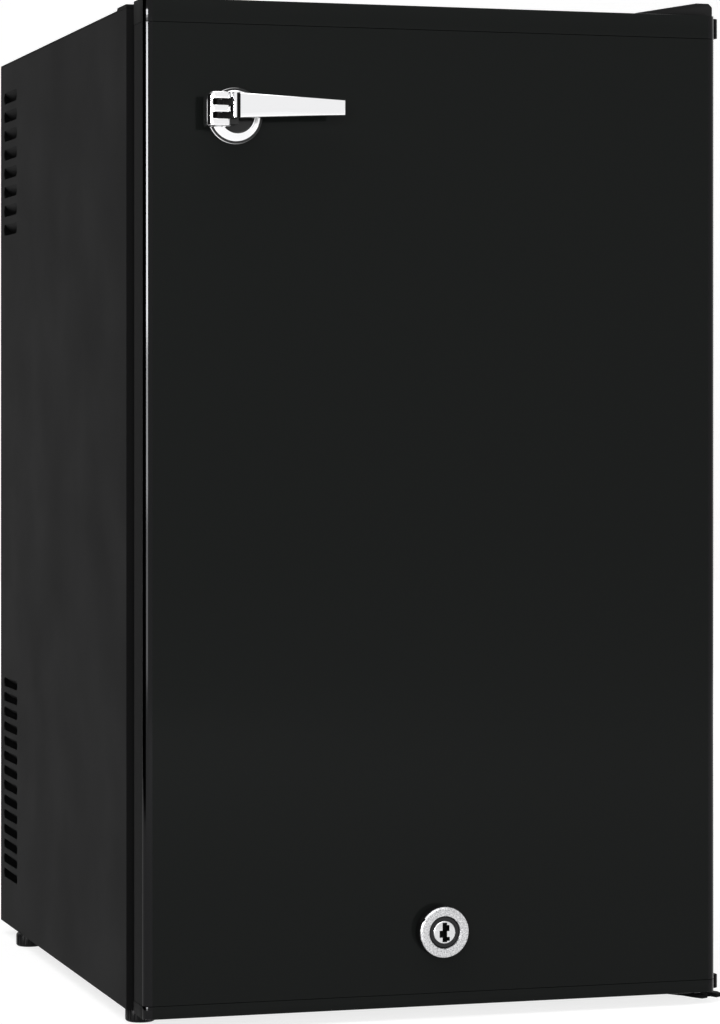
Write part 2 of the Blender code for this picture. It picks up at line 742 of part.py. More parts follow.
def evaporator(b):
    """The finned cold plate on the cavity's rear wall and its stem."""
    rear = CAVITY_DEPTH - GAP
    top = COOLER_BOTTOM_Z + COOLER_HEIGHT
    plate = b.box("evaporator", (-COOLER_HALF_WIDTH, rear - COOLER_PLATE, COOLER_BOTTOM_Z),
                  (COOLER_HALF_WIDTH, rear, top))
    front = rear - COOLER_PLATE - COOLER_FIN_DEPTH
    pitch = (2 * COOLER_HALF_WIDTH - COOLER_FIN) / (COOLER_FIN_COUNT - 1)
    fin = b.box("evaporator_fins", (-COOLER_HALF_WIDTH, front, COOLER_BOTTOM_Z),
                (-COOLER_HALF_WIDTH + COOLER_FIN, rear - COOLER_PLATE / 2, top))
    repeat(fin, COOLER_FIN_COUNT, (pitch, 0.0, 0.0))
    stem = cooler_stem(b, "evaporator_stem", 0.0, rear - COOLER_PLATE / 2,
                       UNIT_Y - PIPE_RADIUS - GAP)
    return b.put(b.join(plate, fin, stem), "aluminium")


def drip_gutter(b):
    """The gutter under the cold plate, hung on the rear wall."""
    top = COOLER_BOTTOM_Z - GAP
    rear = CAVITY_DEPTH - GAP
    x = COOLER_HALF_WIDTH + PLASTIC
    low = (-x, rear - GUTTER_DEPTH, top - GUTTER_HEIGHT)
    gutter = b.box("drip_gutter", low, (x, rear, top))
    hollow = b.box(
        "gutter_hollow",
        (-x + PLASTIC, rear - GUTTER_DEPTH + PLASTIC, top - GUTTER_HEIGHT + PLASTIC),
        (x - PLASTIC, rear - PLASTIC, top + PLASTIC))
    spout_y = rear - GUTTER_DEPTH / 2
    spout = b.rod("gutter_spout", 0.005, (0.0, spout_y, top - 2 * GUTTER_HEIGHT),
                  1.5 * GUTTER_HEIGHT, sides=16)
    bore = b.rod("gutter_bore", 0.0035, (0.0, spout_y, top - 3 * GUTTER_HEIGHT),
                 3 * GUTTER_HEIGHT, sides=16)
    return b.put(b.cut(b.join(gutter, spout), hollow, bore), "grey_plastic")


def control_housing(b):
    """The moulded housing of the thermostat and lamp under the ceiling."""
    top = CAVITY_CEILING_Z - GAP
    front = CONTROL_FRONT_Y
    rear = front + CONTROL_DEPTH
    low = top - CONTROL_HEIGHT
    slope = CONTROL_DEPTH / 3
    section = [(front, low + slope / 2), (front + slope / 2, low), (rear, low),
               (rear, top), (front, top)]
    housing = b.outline("control_housing", [section], CONTROL_WIDTH, 0.0, "YZ")
    bevel(housing, 0.0015, 1)
    socket = b.rod("dial_socket", DIAL_RADIUS / 2 + GAP, (DIAL_X, front - DIAL_DEPTH, dial_z()),
                   2 * DIAL_DEPTH, "Y", 20)
    window = b.box("lamp_window", (-DIAL_X - LAMP_WIDTH / 2, front + slope, low - LAMP_DROP),
                   (-DIAL_X + LAMP_WIDTH / 2, rear - slope / 2, low + LAMP_DROP))
    return b.put(b.cut(housing, socket, window), "white_plastic")


def dial_z():
    """Height of the thermostat dial's shaft."""
    return CAVITY_CEILING_Z - CONTROL_HEIGHT * 0.42


def lamp_lens(b):
    """The clear cover of the lamp, let into the housing's underside."""
    low = CAVITY_CEILING_Z - GAP - CONTROL_HEIGHT
    slope = CONTROL_DEPTH / 3
    half = LAMP_WIDTH / 2 - GAP
    lens = b.box("lamp_lens",
                 (-DIAL_X - half, CONTROL_FRONT_Y + slope + GAP, low - LAMP_DROP / 2),
                 (-DIAL_X + half, CONTROL_FRONT_Y + CONTROL_DEPTH - slope / 2 - GAP,
                  low + LAMP_DROP - GAP))
    bevel(lens, LAMP_DROP / 4, 2)
    return b.put(lens, "clear_plastic")


def thermostat_dial(b):
    """The knurled dial and its shaft, turning in the housing's front."""
    front = CONTROL_FRONT_Y - GAP
    dial = b.rod("thermostat_dial", DIAL_RADIUS, (DIAL_X, front - DIAL_DEPTH, dial_z()),
                 DIAL_DEPTH, "Y", 24)
    shaft = b.rod("dial_shaft", DIAL_RADIUS / 2, (DIAL_X, front - DIAL_DEPTH / 2, dial_z()),
                  DIAL_DEPTH, "Y", 20)
    grip = b.box("dial_grip",
                 (DIAL_X - 0.0016, front - DIAL_DEPTH * 1.5, dial_z() - DIAL_RADIUS * 0.9),
                 (DIAL_X + 0.0016, front - DIAL_DEPTH / 2, dial_z() + DIAL_RADIUS * 0.9))
    return b.put(b.join(dial, shaft, grip), "white_plastic", "thermostat_axis")


# Absorption cooling unit


def boiler(b):
    """The insulated boiler's round sheet jacket with its dished ends."""
    end = 0.006
    radius = BOILER_RADIUS
    profile = [
        (0.0, BOILER_HEIGHT), (radius * 0.6, BOILER_HEIGHT),
        (radius, BOILER_HEIGHT - end), (radius, end), (radius * 0.6, 0.0), (0.0, 0.0)]
    jacket = b.turned("boiler_jacket", profile, (BOILER_X, UNIT_Y, BOILER_BOTTOM_Z), steps=24)
    return b.put(jacket, "zinc_steel")


def condenser_point(x):
    """A point on the falling condenser pipe."""
    share = (BOILER_X - x) / (BOILER_X - CONDENSER_LEFT_X)
    return (x, UNIT_Y, CONDENSER_Z - share * CONDENSER_FALL)


def condenser(b):
    """The riser from the boiler and the finned condenser pipe."""
    bend = 3 * PIPE_RADIUS
    riser = [(BOILER_X, UNIT_Y, BOILER_BOTTOM_Z + BOILER_HEIGHT + GAP),
             (BOILER_X, UNIT_Y, CONDENSER_Z - bend)]
    turn = arc((BOILER_X - bend, CONDENSER_Z - bend), bend, 15, 90, 4)
    across = [condenser_point(x) for x in (BOILER_X - 2 * bend, CONDENSER_LEFT_X)]
    path = riser + [(x, UNIT_Y, z) for x, z in turn] + across
    pipe = b.solid(b.tube("condenser", path, PIPE_RADIUS))
    start = condenser_point(CONDENSER_LEFT_X + CONDENSER_FIN_PITCH)
    half = CONDENSER_FIN_SIZE / 2
    fin = b.box("condenser_fins",
                (start[0], start[1] - half, start[2] - half),
                (start[0] + CONDENSER_FIN, start[1] + half, start[2] + half))
    fall = CONDENSER_FALL / (BOILER_X - CONDENSER_LEFT_X) * CONDENSER_FIN_PITCH
    repeat(fin, CONDENSER_FIN_COUNT, (CONDENSER_FIN_PITCH, 0.0, fall))
    return b.put(b.join(pipe, fin), "pipe_paint")


def cooling_pipe(b):
    """The cold pipe looped behind the stem of the cold plate."""
    start = condenser_point(CONDENSER_LEFT_X)
    middle = COOLER_BOTTOM_Z + COOLER_HEIGHT / 2
    rise = STEM_HEIGHT / 2 - PIPE_RADIUS
    bend = 2 * PIPE_RADIUS
    right = STEM_HALF_WIDTH + bend
    turn_x = CONDENSER_LEFT_X - PIPE_RADIUS
    left = turn_x - bend
    path = [(start[0] - GAP, start[2])]
    path += arc((turn_x, start[2] - bend), bend, 90, 180, 4)
    path += arc((turn_x, middle + rise + bend), bend, 180, 270, 4)
    path += arc((right, middle), rise, 90, -90, 5)
    path += arc((left + 3 * bend, middle - rise - bend), bend, 90, 180, 3)
    path += [(left + 2 * bend, COIL_TOP_Z + bend)]
    path += arc((left + 3 * bend, COIL_TOP_Z + bend), bend, 180, 260, 3)
    points = [(x, UNIT_Y, z) for x, z in path]
    return b.put(b.tube("cooling_pipe", points, PIPE_RADIUS), "pipe_paint")


def absorber_coil(b):
    """The absorber's pipe, falling to and fro down to the tank."""
    radius = PIPE_RADIUS
    left = COIL_X - COIL_HALF_WIDTH
    right = COIL_X + COIL_HALF_WIDTH
    bend = COIL_PITCH / 2
    entry = CONDENSER_LEFT_X + 5 * PIPE_RADIUS + GAP
    path = [(entry, COIL_TOP_Z)]
    for turn in range(COIL_PASSES):
        z = COIL_TOP_Z - turn * COIL_PITCH
        if turn % 2 == 0:
            path += arc((right, z - bend), bend, 80, -80, 6)
        else:
            path += arc((left, z - bend), bend, 100, 260, 6)
    last = COIL_TOP_Z - COIL_PASSES * COIL_PITCH
    path += [(left + bend, last)]
    path += arc((left + bend, last - bend), bend, 80, 0, 4)
    path += [(left + 2 * bend, TANK_Z + TANK_RADIUS + GAP)]
    points = [(x, UNIT_Y, z) for x, z in path]
    return b.put(b.tube("absorber_coil", points, radius), "pipe_paint")


def absorber_tank(b):
    """The round-ended tank under the absorber."""
    end = 0.010
    radius = TANK_RADIUS
    length = TANK_LENGTH
    profile = [
        (0.0, length / 2), (radius * 0.7, length / 2 - end * 0.3),
        (radius, length / 2 - end), (radius, end - length / 2),
        (radius * 0.7, end * 0.3 - length / 2), (0.0, -length / 2)]
    tank = b.turned("absorber_tank", profile, (TANK_X, UNIT_Y, TANK_Z), steps=24)
    tank.rotation_euler = (0.0, math.radians(90), 0.0)
    return b.put(tank, "pipe_paint")


def exchanger_pipe(b):
    """The heat exchanger pipe from the tank's end up to the boiler."""
    start = TANK_X + TANK_LENGTH / 2 + GAP
    bend = 3 * PIPE_RADIUS
    path = [(start, TANK_Z)]
    path += arc((BOILER_X - bend, TANK_Z + bend), bend, -90, 0, 4)
    path += [(BOILER_X, BOILER_BOTTOM_Z - GAP)]
    points = [(x, UNIT_Y, z) for x, z in path]
    return b.put(b.tube("exchanger_pipe", points, PIPE_RADIUS * 1.3), "pipe_paint")


def unit_bracket(b, name, low_z):
    """A pressed strap that holds the boiler to the rear panel."""
    foot = REAR_PANEL_Y + SHEET + GAP
    reach = BOILER_RADIUS + GAP
    path = [(BOILER_X - 2 * reach, foot), (BOILER_X - reach - SHEET, foot)]
    path += [(BOILER_X - reach, UNIT_Y)]
    path += arc((BOILER_X, UNIT_Y), reach, 165, 15, 10)
    path += [(BOILER_X + reach, UNIT_Y)]
    path += [(BOILER_X + reach + SHEET, foot), (BOILER_X + 2 * reach, foot)]
    height = 0.016
    strap = b.outline(name, [ribbon(path, SHEET)], height, low_z + height / 2)
    return b.put(strap, "zinc_steel")


def tank_saddle(b, name, x):
    """A sheet saddle on the base pan that carries the tank."""
    low = PAN_Z + SHEET + GAP
    seat = arc((UNIT_Y, TANK_Z), TANK_RADIUS + GAP, -50, -130, 6)
    rear = PAN_DEPTH - SHEET
    front = 2 * UNIT_Y - seat[0][0]
    shape = [(front, low), (rear, low), (rear, low + 0.006)] + seat
    plate = b.outline(name, [shape], 2 * SHEET, x, "YZ")
    return b.put(plate, "zinc_steel")


def electrical_box(b):
    """The closed box of the electrical connections beside the tank."""
    low = PAN_Z + SHEET + GAP
    front = REAR_PANEL_Y + SHEET + GAP
    box = b.box("electrical_box", (BOX_X - BOX_WIDTH / 2, front, low),
                (BOX_X + BOX_WIDTH / 2, front + BOX_DEPTH, low + BOX_HEIGHT))
    bevel(box, 0.0025, 2)
    hole = b.rod("gland_hole", 0.007 + GAP, (BOX_X, front + BOX_DEPTH / 2, low + BOX_HEIGHT / 3),
                 BOX_DEPTH, "Y", 20)
    return b.put(b.cut(box, hole), "black_plastic")


def cable_gland(b):
    """The inlet in the box's rear face where the supply enters."""
    low = PAN_Z + SHEET + GAP
    face = REAR_PANEL_Y + SHEET + GAP + BOX_DEPTH
    profile = [(0.0035, 0.010), (0.007, 0.009), (0.0095, 0.006), (0.0095, GAP),
               (0.007, GAP), (0.007, -0.010), (0.0035, -0.010), (0.0035, 0.010)]
    gland = b.turned("cable_gland", profile, (BOX_X, face, low + BOX_HEIGHT / 3), "Y", 16)
    return b.put(gland, "black_plastic")


def rear_rail(b, name, low, high):
    """A rail across the open back between the side panels' flanges."""
    x = HALF - REAR_FLANGE - GAP
    inner = SIDE_DEPTH - RAIL_HEIGHT * 0.6
    path = [(inner, low), (SIDE_DEPTH, low), (SIDE_DEPTH, high)]
    if low > SIDE_HEIGHT / 2:
        path = [(SIDE_DEPTH, low), (SIDE_DEPTH, high), (inner, high)]
    return b.put(b.outline(name, [ribbon(path, SHEET)], 2 * x, 0.0, "YZ"), "black_paint")


# Feet and hinges


def foot(b, name, x, y, rest):
    """A screw foot standing on the floor under a seat at height rest."""
    radius = FOOT_RADIUS
    head = min(0.006, rest * 0.75)
    profile = [(0.0, rest), (radius * 0.45, rest), (radius * 0.45, head), (radius * 0.92, head),
               (radius, head * 0.75), (radius, head * 0.25), (radius * 0.85, 0.0), (0.0, 0.0)]
    return b.put(b.turned(name, profile, (x, y, 0.0), steps=16), "black_plastic")


def bottom_bracket(b):
    """The joggled lower hinge bracket with its nose and stop lobe."""
    low = BRACKET_Z
    left = HINGE_X - BRACKET_LEFT
    right = HALF - SHEET - GAP
    lobe = HINGE_X + BRACKET_LOBE
    shape = [(left, BRACKET_WEB_Y), (left, -0.0046), (HINGE_X - 0.0085, HINGE_Y + 0.0035),
             (HINGE_X - 0.0035, NOSE_Y + 0.005), (HINGE_X, NOSE_Y), (HINGE_X + 0.0045, NOSE_Y + 0.002),
             (HINGE_X + 0.006, NOSE_Y + 0.007), (HINGE_X + 0.0085, NOSE_Y + 0.007),
             (lobe - 0.005, NOSE_Y + 0.002), (lobe, NOSE_Y + 0.005), (lobe, HINGE_Y + 0.001),
             (right, HINGE_Y + 0.008), (right, BRACKET_WEB_Y)]
    nose = b.outline("hinge_bracket_bottom", [shape], HINGE_PLATE, low + HINGE_PLATE / 2)
    top = PAN_Z - GAP
    web = BRACKET_WEB_Y
    section = [(web - HINGE_PLATE, low), (web, low), (web, top - HINGE_PLATE),
               (HINGE_PLATE_REAR_Y, top - HINGE_PLATE), (HINGE_PLATE_REAR_Y, top),
               (web - HINGE_PLATE / 2, top), (web - HINGE_PLATE, top - HINGE_PLATE / 2)]
    back = b.outline("bracket_back", [section], right - left, (left + right) / 2, "YZ")
    return b.put(b.join(nose, back), "black_paint")


def top_plate(b):
    """The joggled upper hinge plate screwed to the roof."""
    low = top_plate_low()
    flat = SIDE_TOP_Z + GAP
    thick = HINGE_PLATE * 0.8
    right = HINGE_X + PIN_RADIUS + SHEET + BUSH_WALL
    left = HINGE_X - COVER_LEFT / 2
    nose = COVER_NOSE_Y + PLASTIC + GAP
    down = BAND_DEPTH + BAND_RISE + thick
    shape = [(left, down + thick), (left, -HINGE_PLATE), (HINGE_X - 0.0065, nose),
             (right, nose), (right, down + thick)]
    nose = b.outline("hinge_plate_top", [shape], thick, low + thick / 2)
    section = [(down, flat), (HINGE_PLATE_REAR_Y, flat), (HINGE_PLATE_REAR_Y, flat + thick),
               (down + thick, flat + thick), (down + thick, low + thick), (down, low + thick)]
    back = b.outline("top_plate_back", [section], right - left, (left + right) / 2, "YZ")
    return b.put(b.join(nose, back), "black_paint")


def top_plate_low():
    """Underside of the upper hinge plate over the door."""
    return SIDE_TOP_Z + BAND_RISE + 2 * GAP + SHEET


def hinge_pin(b, name, low, high, collar_low):
    """A hinge pin with a collar against its plate."""
    radius = PIN_RADIUS
    collar = radius * 1.4
    if collar_low:
        profile = [(0.0, high), (radius * 0.7, high), (radius, high - radius * 0.4),
                   (radius, low + 0.001), (collar, low + 0.001), (collar, low), (0.0, low)]
    else:
        profile = [(0.0, high), (radius, high), (radius, low + radius * 0.4),
                   (radius * 0.7, low), (0.0, low)]
    return b.put(b.turned(name, profile, (HINGE_X, HINGE_Y, 0.0), steps=16), "zinc_steel")


def cover_section(wall, low):
    """The cover's front outline, drawn in by a wall, down to a height."""
    right = HALF - COVER_INSET - wall
    top = COVER_TOP_Z - wall
    flat = HALF - COVER_INSET - COVER_FLAT
    left = HINGE_X - COVER_LEFT
    edge = DOOR_TOP_Z + GAP + COVER_EDGE - wall
    return [(left, low), (right, low), (right, top - COVER_ROUND), (right - COVER_ROUND, top),
            (flat, top), (left, edge)]


def hinge_cover(b):
    """The moulded wedge-shaped cover over the upper hinge, hollow from below."""
    base = DOOR_TOP_Z + GAP
    length = COVER_REAR_Y - COVER_NOSE_Y
    middle = (COVER_REAR_Y + COVER_NOSE_Y) / 2
    cover = b.outline("hinge_cover", [cover_section(0.0, base)], length, middle, "XZ")
    bevel(cover, COVER_EDGE / 3, 1)
    low = SIDE_TOP_Z + GAP
    skirt = b.box("cover_skirt", (HINGE_X - COVER_LEFT + GAP, BAND_DEPTH + 2 * BAND_RISE, low),
                  (HALF - COVER_INSET - GAP, COVER_REAR_Y - GAP, base + COVER_EDGE / 2))
    room = b.outline("cover_room", [cover_section(PLASTIC, low - PLASTIC)],
                     length - 2 * PLASTIC, middle, "XZ")
    return b.put(b.cut(b.join(cover, skirt), room), "black_plastic")


# Door


def door_shape(inset, rear):
    """The door's plan outline, drawn in by an inset, back to a rear line."""
    x = DOOR_HALF_WIDTH - inset
    front = DOOR_FRONT_Y + inset
    radius = DOOR_ROUND - min(inset, DOOR_ROUND * 0.5)
    return ([(x, rear), (-x, rear)]
            + arc((-x + radius, front + radius), radius, 180, 270, 5)
            + arc((x - radius, front + radius), radius, -90, 0, 5))


def lock_hole(b, name):
    """The hole for the lock's barrel through one layer of the door."""
    radius = CORE_RADIUS + 2 * GAP + BARREL_WALL
    return b.rod(name, radius, (LOCK_X, DOOR_FRONT_Y * 1.5, LOCK_Z),
                 -DOOR_FRONT_Y * 2, "Y", 32)


def door_skin(b):
    """The glossy sheet folded round the door's sides."""
    height = SKIN_TOP_Z - SKIN_BOTTOM_Z
    path = door_shape(0.0, SKIN_REAR_Y)[1:] + [(DOOR_HALF_WIDTH, SKIN_REAR_Y)]
    skin = b.outline("door_skin", [ribbon(path, SHEET)], height, SKIN_BOTTOM_Z + height / 2)
    return b.put(b.cut(skin, lock_hole(b, "skin_hole")), "black_gloss", "door_axis")


def door_cap(b, name, low, height, lug_low, lug_height):
    """A moulded end cap with the hinge lug and the pin's bore."""
    shape = door_shape(0.0, CAP_REAR_Y)
    chamfer = 0.002
    x = DOOR_HALF_WIDTH
    shape[0:2] = [(x, CAP_REAR_Y - chamfer), (x - chamfer, CAP_REAR_Y),
                  (chamfer - x, CAP_REAR_Y), (-x, CAP_REAR_Y - chamfer)]
    cap = b.outline(name, [shape], height, low + height / 2)
    bevel(cap, 0.0009, 2, 60)
    front = HINGE_Y - LUG_LENGTH / 2
    rear = HINGE_Y + LUG_LENGTH / 2
    inner = x + GAP
    tip = 0.0022
    lug_shape = [(inner, front), (LUG_X - tip, front), (LUG_X, front + tip),
                 (LUG_X, rear - tip), (LUG_X - tip, rear), (inner, rear)]
    lug = b.outline(name + "_lug", [lug_shape], lug_height, lug_low + lug_height / 2)
    bridge = b.box(name + "_bridge", (x - height / 2, front + tip, low + tip),
                   (LUG_X - tip, rear - tip, low + height - tip))
    bore = b.rod(name + "_bore", PIN_RADIUS + 2 * GAP + BUSH_WALL,
                 (HINGE_X, HINGE_Y, low - height), 3 * height, sides=24)
    return b.put(b.cut(b.join(cap, lug, bridge), bore), "black_plastic", "door_axis")


def hinge_bush(b, name, low, height):
    """The plastic bush between a hinge pin and its end cap."""
    inner = PIN_RADIUS + GAP
    outer = inner + BUSH_WALL
    high = low + height
    profile = [(inner, high), (outer, high), (outer, low), (inner, low), (inner, high)]
    bush = b.turned(name, profile, (HINGE_X, HINGE_Y, 0.0), steps=16)
    return b.put(bush, "white_plastic", "door_axis")


def door_foam(b):
    """The foam that fills the door between skin and inner moulding."""
    inset = SHEET + GAP
    base = RIM_Y - GAP
    height = SKIN_TOP_Z - SKIN_BOTTOM_Z
    foam = b.outline("door_foam", [door_shape(inset, base)], height,
                     SKIN_BOTTOM_Z + height / 2)
    wall = PLASTIC + GAP
    plug = b.box("foam_plug", (wall - PLUG_HALF_WIDTH, base - PLASTIC, PLUG_BOTTOM_Z + wall),
                 (PLUG_HALF_WIDTH - wall, PLUG_REAR_Y - wall, PLUG_TOP_Z - wall))
    b.cut(b.join(foam, plug), lock_hole(b, "foam_hole"))
    return b.put(foam, "foam", "door_axis")


def plug_block(b, name, inset, front):
    """The raised middle of the door's inner moulding, or its hollow."""
    plug = b.box(name, (inset - PLUG_HALF_WIDTH, front, PLUG_BOTTOM_Z + inset),
                 (PLUG_HALF_WIDTH - inset, PLUG_REAR_Y - inset, PLUG_TOP_Z - inset))
    return plug


def dyke(b, name, side, inset, front):
    """One of the two upright walls that hold the racks, or its hollow."""
    x = sorted((side * (DYKE_INNER_X + inset), side * (DYKE_INNER_X + DYKE_WIDTH - inset)))
    return b.box(name, (x[0], front, PLUG_BOTTOM_Z + DYKE_WIDTH / 2 + inset),
                 (x[1], PLUG_REAR_Y + DYKE_REACH - inset, PLUG_TOP_Z - DYKE_WIDTH / 2 - inset))


def door_liner(b):
    """The vacuum-formed inner face of the door."""
    x = DOOR_HALF_WIDTH - SHEET - GAP
    rim = b.box("door_liner", (-x, RIM_Y, SKIN_BOTTOM_Z + GAP),
                (x, SKIN_REAR_Y, SKIN_TOP_Z - GAP))
    middle = (RIM_Y + SKIN_REAR_Y) / 2
    plug = bevel(plug_block(b, "liner_plug", 0.0, middle), 0.003, 2)
    hollow = plug_block(b, "liner_hollow", PLASTIC, RIM_Y - PLASTIC)
    b.join(rim, plug)
    for side in (-1, 1):
        word = "right" if side > 0 else "left"
        wall = bevel(dyke(b, "dyke_" + word, side, 0.0, PLUG_REAR_Y - PLASTIC / 2), 0.003, 2)
        b.join(rim, wall)
    b.cut(rim, hollow)
    for side in (-1, 1):
        word = "right" if side > 0 else "left"
        room = dyke(b, "dyke_room_" + word, side, PLASTIC, PLUG_REAR_Y - 2 * PLASTIC)
        b.cut(rim, room)
    b.cut(rim, lock_hole(b, "liner_lock_hole"))
    return b.put(rim, "grey_plastic", "door_axis")


def door_gasket(b):
    """The magnetic gasket: foot, bellows and magnet chamber in one ring."""
    rear = -GAP
    front = SKIN_REAR_Y + GAP
    steps = (("foot", 0.0, front, front + 0.002),
             ("bellows", 0.003, front + 0.0015, rear - 0.003),
             ("magnet", 0.0015, rear - 0.0035, rear))
    ring = None
    for word, inset, start, end in steps:
        loops = [
            rectangle(inset - GASKET_HALF_WIDTH, GASKET_BOTTOM_Z + inset,
                      GASKET_HALF_WIDTH - inset, GASKET_TOP_Z - inset),
            rectangle(GASKET_WIDTH - inset - GASKET_HALF_WIDTH,
                      GASKET_BOTTOM_Z + GASKET_WIDTH - inset,
                      GASKET_HALF_WIDTH - GASKET_WIDTH + inset,
                      GASKET_TOP_Z - GASKET_WIDTH + inset)]
        name = "gasket_" + word if ring else "door_gasket"
        layer = b.outline(name, loops, end - start, (start + end) / 2, "XZ")
        ring = b.join(ring, layer) if ring else layer
    return b.put(ring, "gasket_rubber", "door_axis")


def door_rack(b, name, low, height):
    """A moulded rack between the door's dykes, open on top."""
    x = DYKE_INNER_X - GAP
    front = PLUG_REAR_Y + GAP
    rear = front + RACK_DEPTH
    slope = RACK_DEPTH * 0.08
    section = [(front, low), (rear - slope, low), (rear, low + height * 0.6),
               (rear, low + height), (front, low + height)]
    rack = b.outline(name, [section], 2 * x, 0.0, "YZ")
    wall = 0.002
    hollow_section = [(front + wall, low + wall), (rear - slope - wall, low + wall),
                      (rear - wall, low + height * 0.6), (rear - wall, low + height + wall),
                      (front + wall, low + height + wall)]
    hollow = b.outline(name + "_hollow", [hollow_section], 2 * (x - wall), 0.0, "YZ")
    return b.put(b.cut(rack, hollow), "clear_plastic", "door_axis")


# Handle


def rib_shape():
    """Plan outline of one round knuckle rib with its neck to the spine."""
    rear = spine_y() + SHEET
    radius = KNUCKLE_RADIUS
    return ([(PIVOT_X + radius, rear), (PIVOT_X - radius, rear)]
            + arc((PIVOT_X, PIVOT_Y), radius, 180, 360, 8))


def spine_y():
    """Front of the knuckle's spine, just clear of the lever's eyes."""
    return PIVOT_Y + EYE_RADIUS + GAP


def rib_levels():
    """Lower edges of the three ribs of the knuckle."""
    pitch = (KNUCKLE_HEIGHT - RIB_HEIGHT) / 2
    return [KNUCKLE_Z + i * pitch for i in range(3)]


def handle_base(b):
    """The domed boss on the door with the ribbed knuckle of the lever."""
    rear = DOOR_FRONT_Y - GAP
    front = rear - BOSS_REACH
    radius = BOSS_RADIUS
    profile = [(0.0, rear), (radius, rear), (radius, rear - BOSS_REACH * 0.3),
               (radius * 0.94, rear - BOSS_REACH * 0.6), (radius * 0.78, rear - BOSS_REACH * 0.85),
               (radius * 0.45, front + 0.0003), (0.0, front)]
    base = b.turned("handle_base", profile, (BOSS_X, 0.0, BOSS_Z), "Y", 24)
    spine = b.box("handle_spine", (PIVOT_X - KNUCKLE_RADIUS, spine_y(), KNUCKLE_Z),
                  (PIVOT_X + KNUCKLE_RADIUS, front + BOSS_REACH / 2,
                   KNUCKLE_Z + KNUCKLE_HEIGHT))
    bevel(spine, 0.001, 2)
    rib_z = rib_levels()[0] + RIB_HEIGHT / 2
    rib = bevel(b.outline("handle_ribs", [rib_shape()], RIB_HEIGHT, rib_z), 0.0005, 1, 60)
    repeat(rib, 3, (0.0, 0.0, rib_levels()[1] - rib_levels()[0]))
    bore = b.rod("handle_bore", PIVOT_RADIUS + GAP, (PIVOT_X, PIVOT_Y, KNUCKLE_Z - 0.002),
                 KNUCKLE_HEIGHT + 0.004, sides=20)
    return b.put(b.cut(b.join(base, spine, rib), bore), "chrome", "door_axis")


def handle_pin(b):
    """The pivot pin through ribs and eyes."""
    inset = 0.0004
    pin = b.rod("handle_pin", PIVOT_RADIUS, (PIVOT_X, PIVOT_Y, KNUCKLE_Z + inset),
                KNUCKLE_HEIGHT - 2 * inset, sides=20)
    return b.put(pin, "zinc_steel", "door_axis")


def handle_lever(b):
    """The tapered lever with its two eyes between the knuckle's ribs."""
    root, tip = LEVER_ROOT_X, LEVER_TIP_X
    tall, short = LEVER_ROOT_HEIGHT / 2, LEVER_TIP_HEIGHT / 2
    corner = 0.0009
    shape = [(root, LEVER_Z - tall), (tip - corner, LEVER_Z - short),
             (tip, LEVER_Z - short + corner), (tip, LEVER_Z + short - corner),
             (tip - corner, LEVER_Z + short), (root, LEVER_Z + tall)]
    front = LEVER_FRONT_Y
    lever = b.outline("handle_lever", [shape], LEVER_THICKNESS,
                      front + LEVER_THICKNESS / 2, "XZ")
    bevel(lever, 0.0007, 1)
    groove = b.box("lever_groove", (LEVER_GROOVE_X, front - LEVER_GROOVE, LEVER_Z - 2 * tall),
                   (LEVER_GROOVE_X + LEVER_GROOVE, front + LEVER_GROOVE, LEVER_Z + 2 * tall))
    window = (KNUCKLE_HEIGHT - 3 * RIB_HEIGHT) / 2
    thick = window - 2 * GAP
    low = rib_levels()[0] + RIB_HEIGHT + GAP
    pitch = rib_levels()[1] - rib_levels()[0]
    arm = b.box("lever_arms", (PIVOT_X, PIVOT_Y - EYE_RADIUS * 0.8, low),
                (root + LEVER_THICKNESS, PIVOT_Y, low + thick))
    eye = b.rod("lever_eyes", EYE_RADIUS, (PIVOT_X, PIVOT_Y, low), thick, sides=20)
    bore = b.rod("lever_bore", PIVOT_RADIUS + GAP, (PIVOT_X, PIVOT_Y, KNUCKLE_Z),
                 KNUCKLE_HEIGHT, sides=20)
    for item in (arm, eye):
        repeat(item, 2, (0.0, 0.0, pitch))
    return b.put(b.cut(b.join(lever, arm, eye), bore, groove), "chrome", "lever_axis")


# Lock


def lock_escutcheon(b):
    """The bevelled ring round the lock on the door's face."""
    rear = DOOR_FRONT_Y - GAP
    front = rear - LOCK_REACH
    outer = LOCK_RADIUS
    inner = outer - LOCK_RING_WALL
    edge = LOCK_RING_WALL * 0.3
    profile = [(inner, rear), (outer, rear), (outer, front + edge), (outer - edge, front),
               (inner + edge, front), (inner, front + edge), (inner, rear)]
    ring = b.turned("lock_escutcheon", profile, (LOCK_X, 0.0, LOCK_Z), "Y", 32)
    return b.put(ring, "lock_metal", "door_axis")


def lock_front():
    """The plane of the lock's ring."""
    return DOOR_FRONT_Y - GAP - LOCK_REACH


def lock_barrel(b):
    """The fixed tube of the lock through the door."""
    front = lock_front() + 2 * CORE_RECESS
    rear = RIM_Y + PLASTIC + NUT_THICKNESS + 2 * GAP
    inner = CORE_RADIUS + GAP
    outer = inner + BARREL_WALL
    profile = [(inner, rear), (outer, rear), (outer, front), (inner, front), (inner, rear)]
    barrel = b.turned("lock_barrel", profile, (LOCK_X, 0.0, LOCK_Z), "Y", 24)
    return b.put(barrel, "zinc_steel", "door_axis")


def lock_nut(b):
    """The hexagon nut that clamps the lock from inside."""
    start = SKIN_REAR_Y + GAP
    nut = b.rod("lock_nut", NUT_RADIUS, (LOCK_X, start, LOCK_Z), NUT_THICKNESS, "Y", 6)
    return b.put(b.cut(nut, lock_hole(b, "nut_hole")), "zinc_steel", "door_axis")


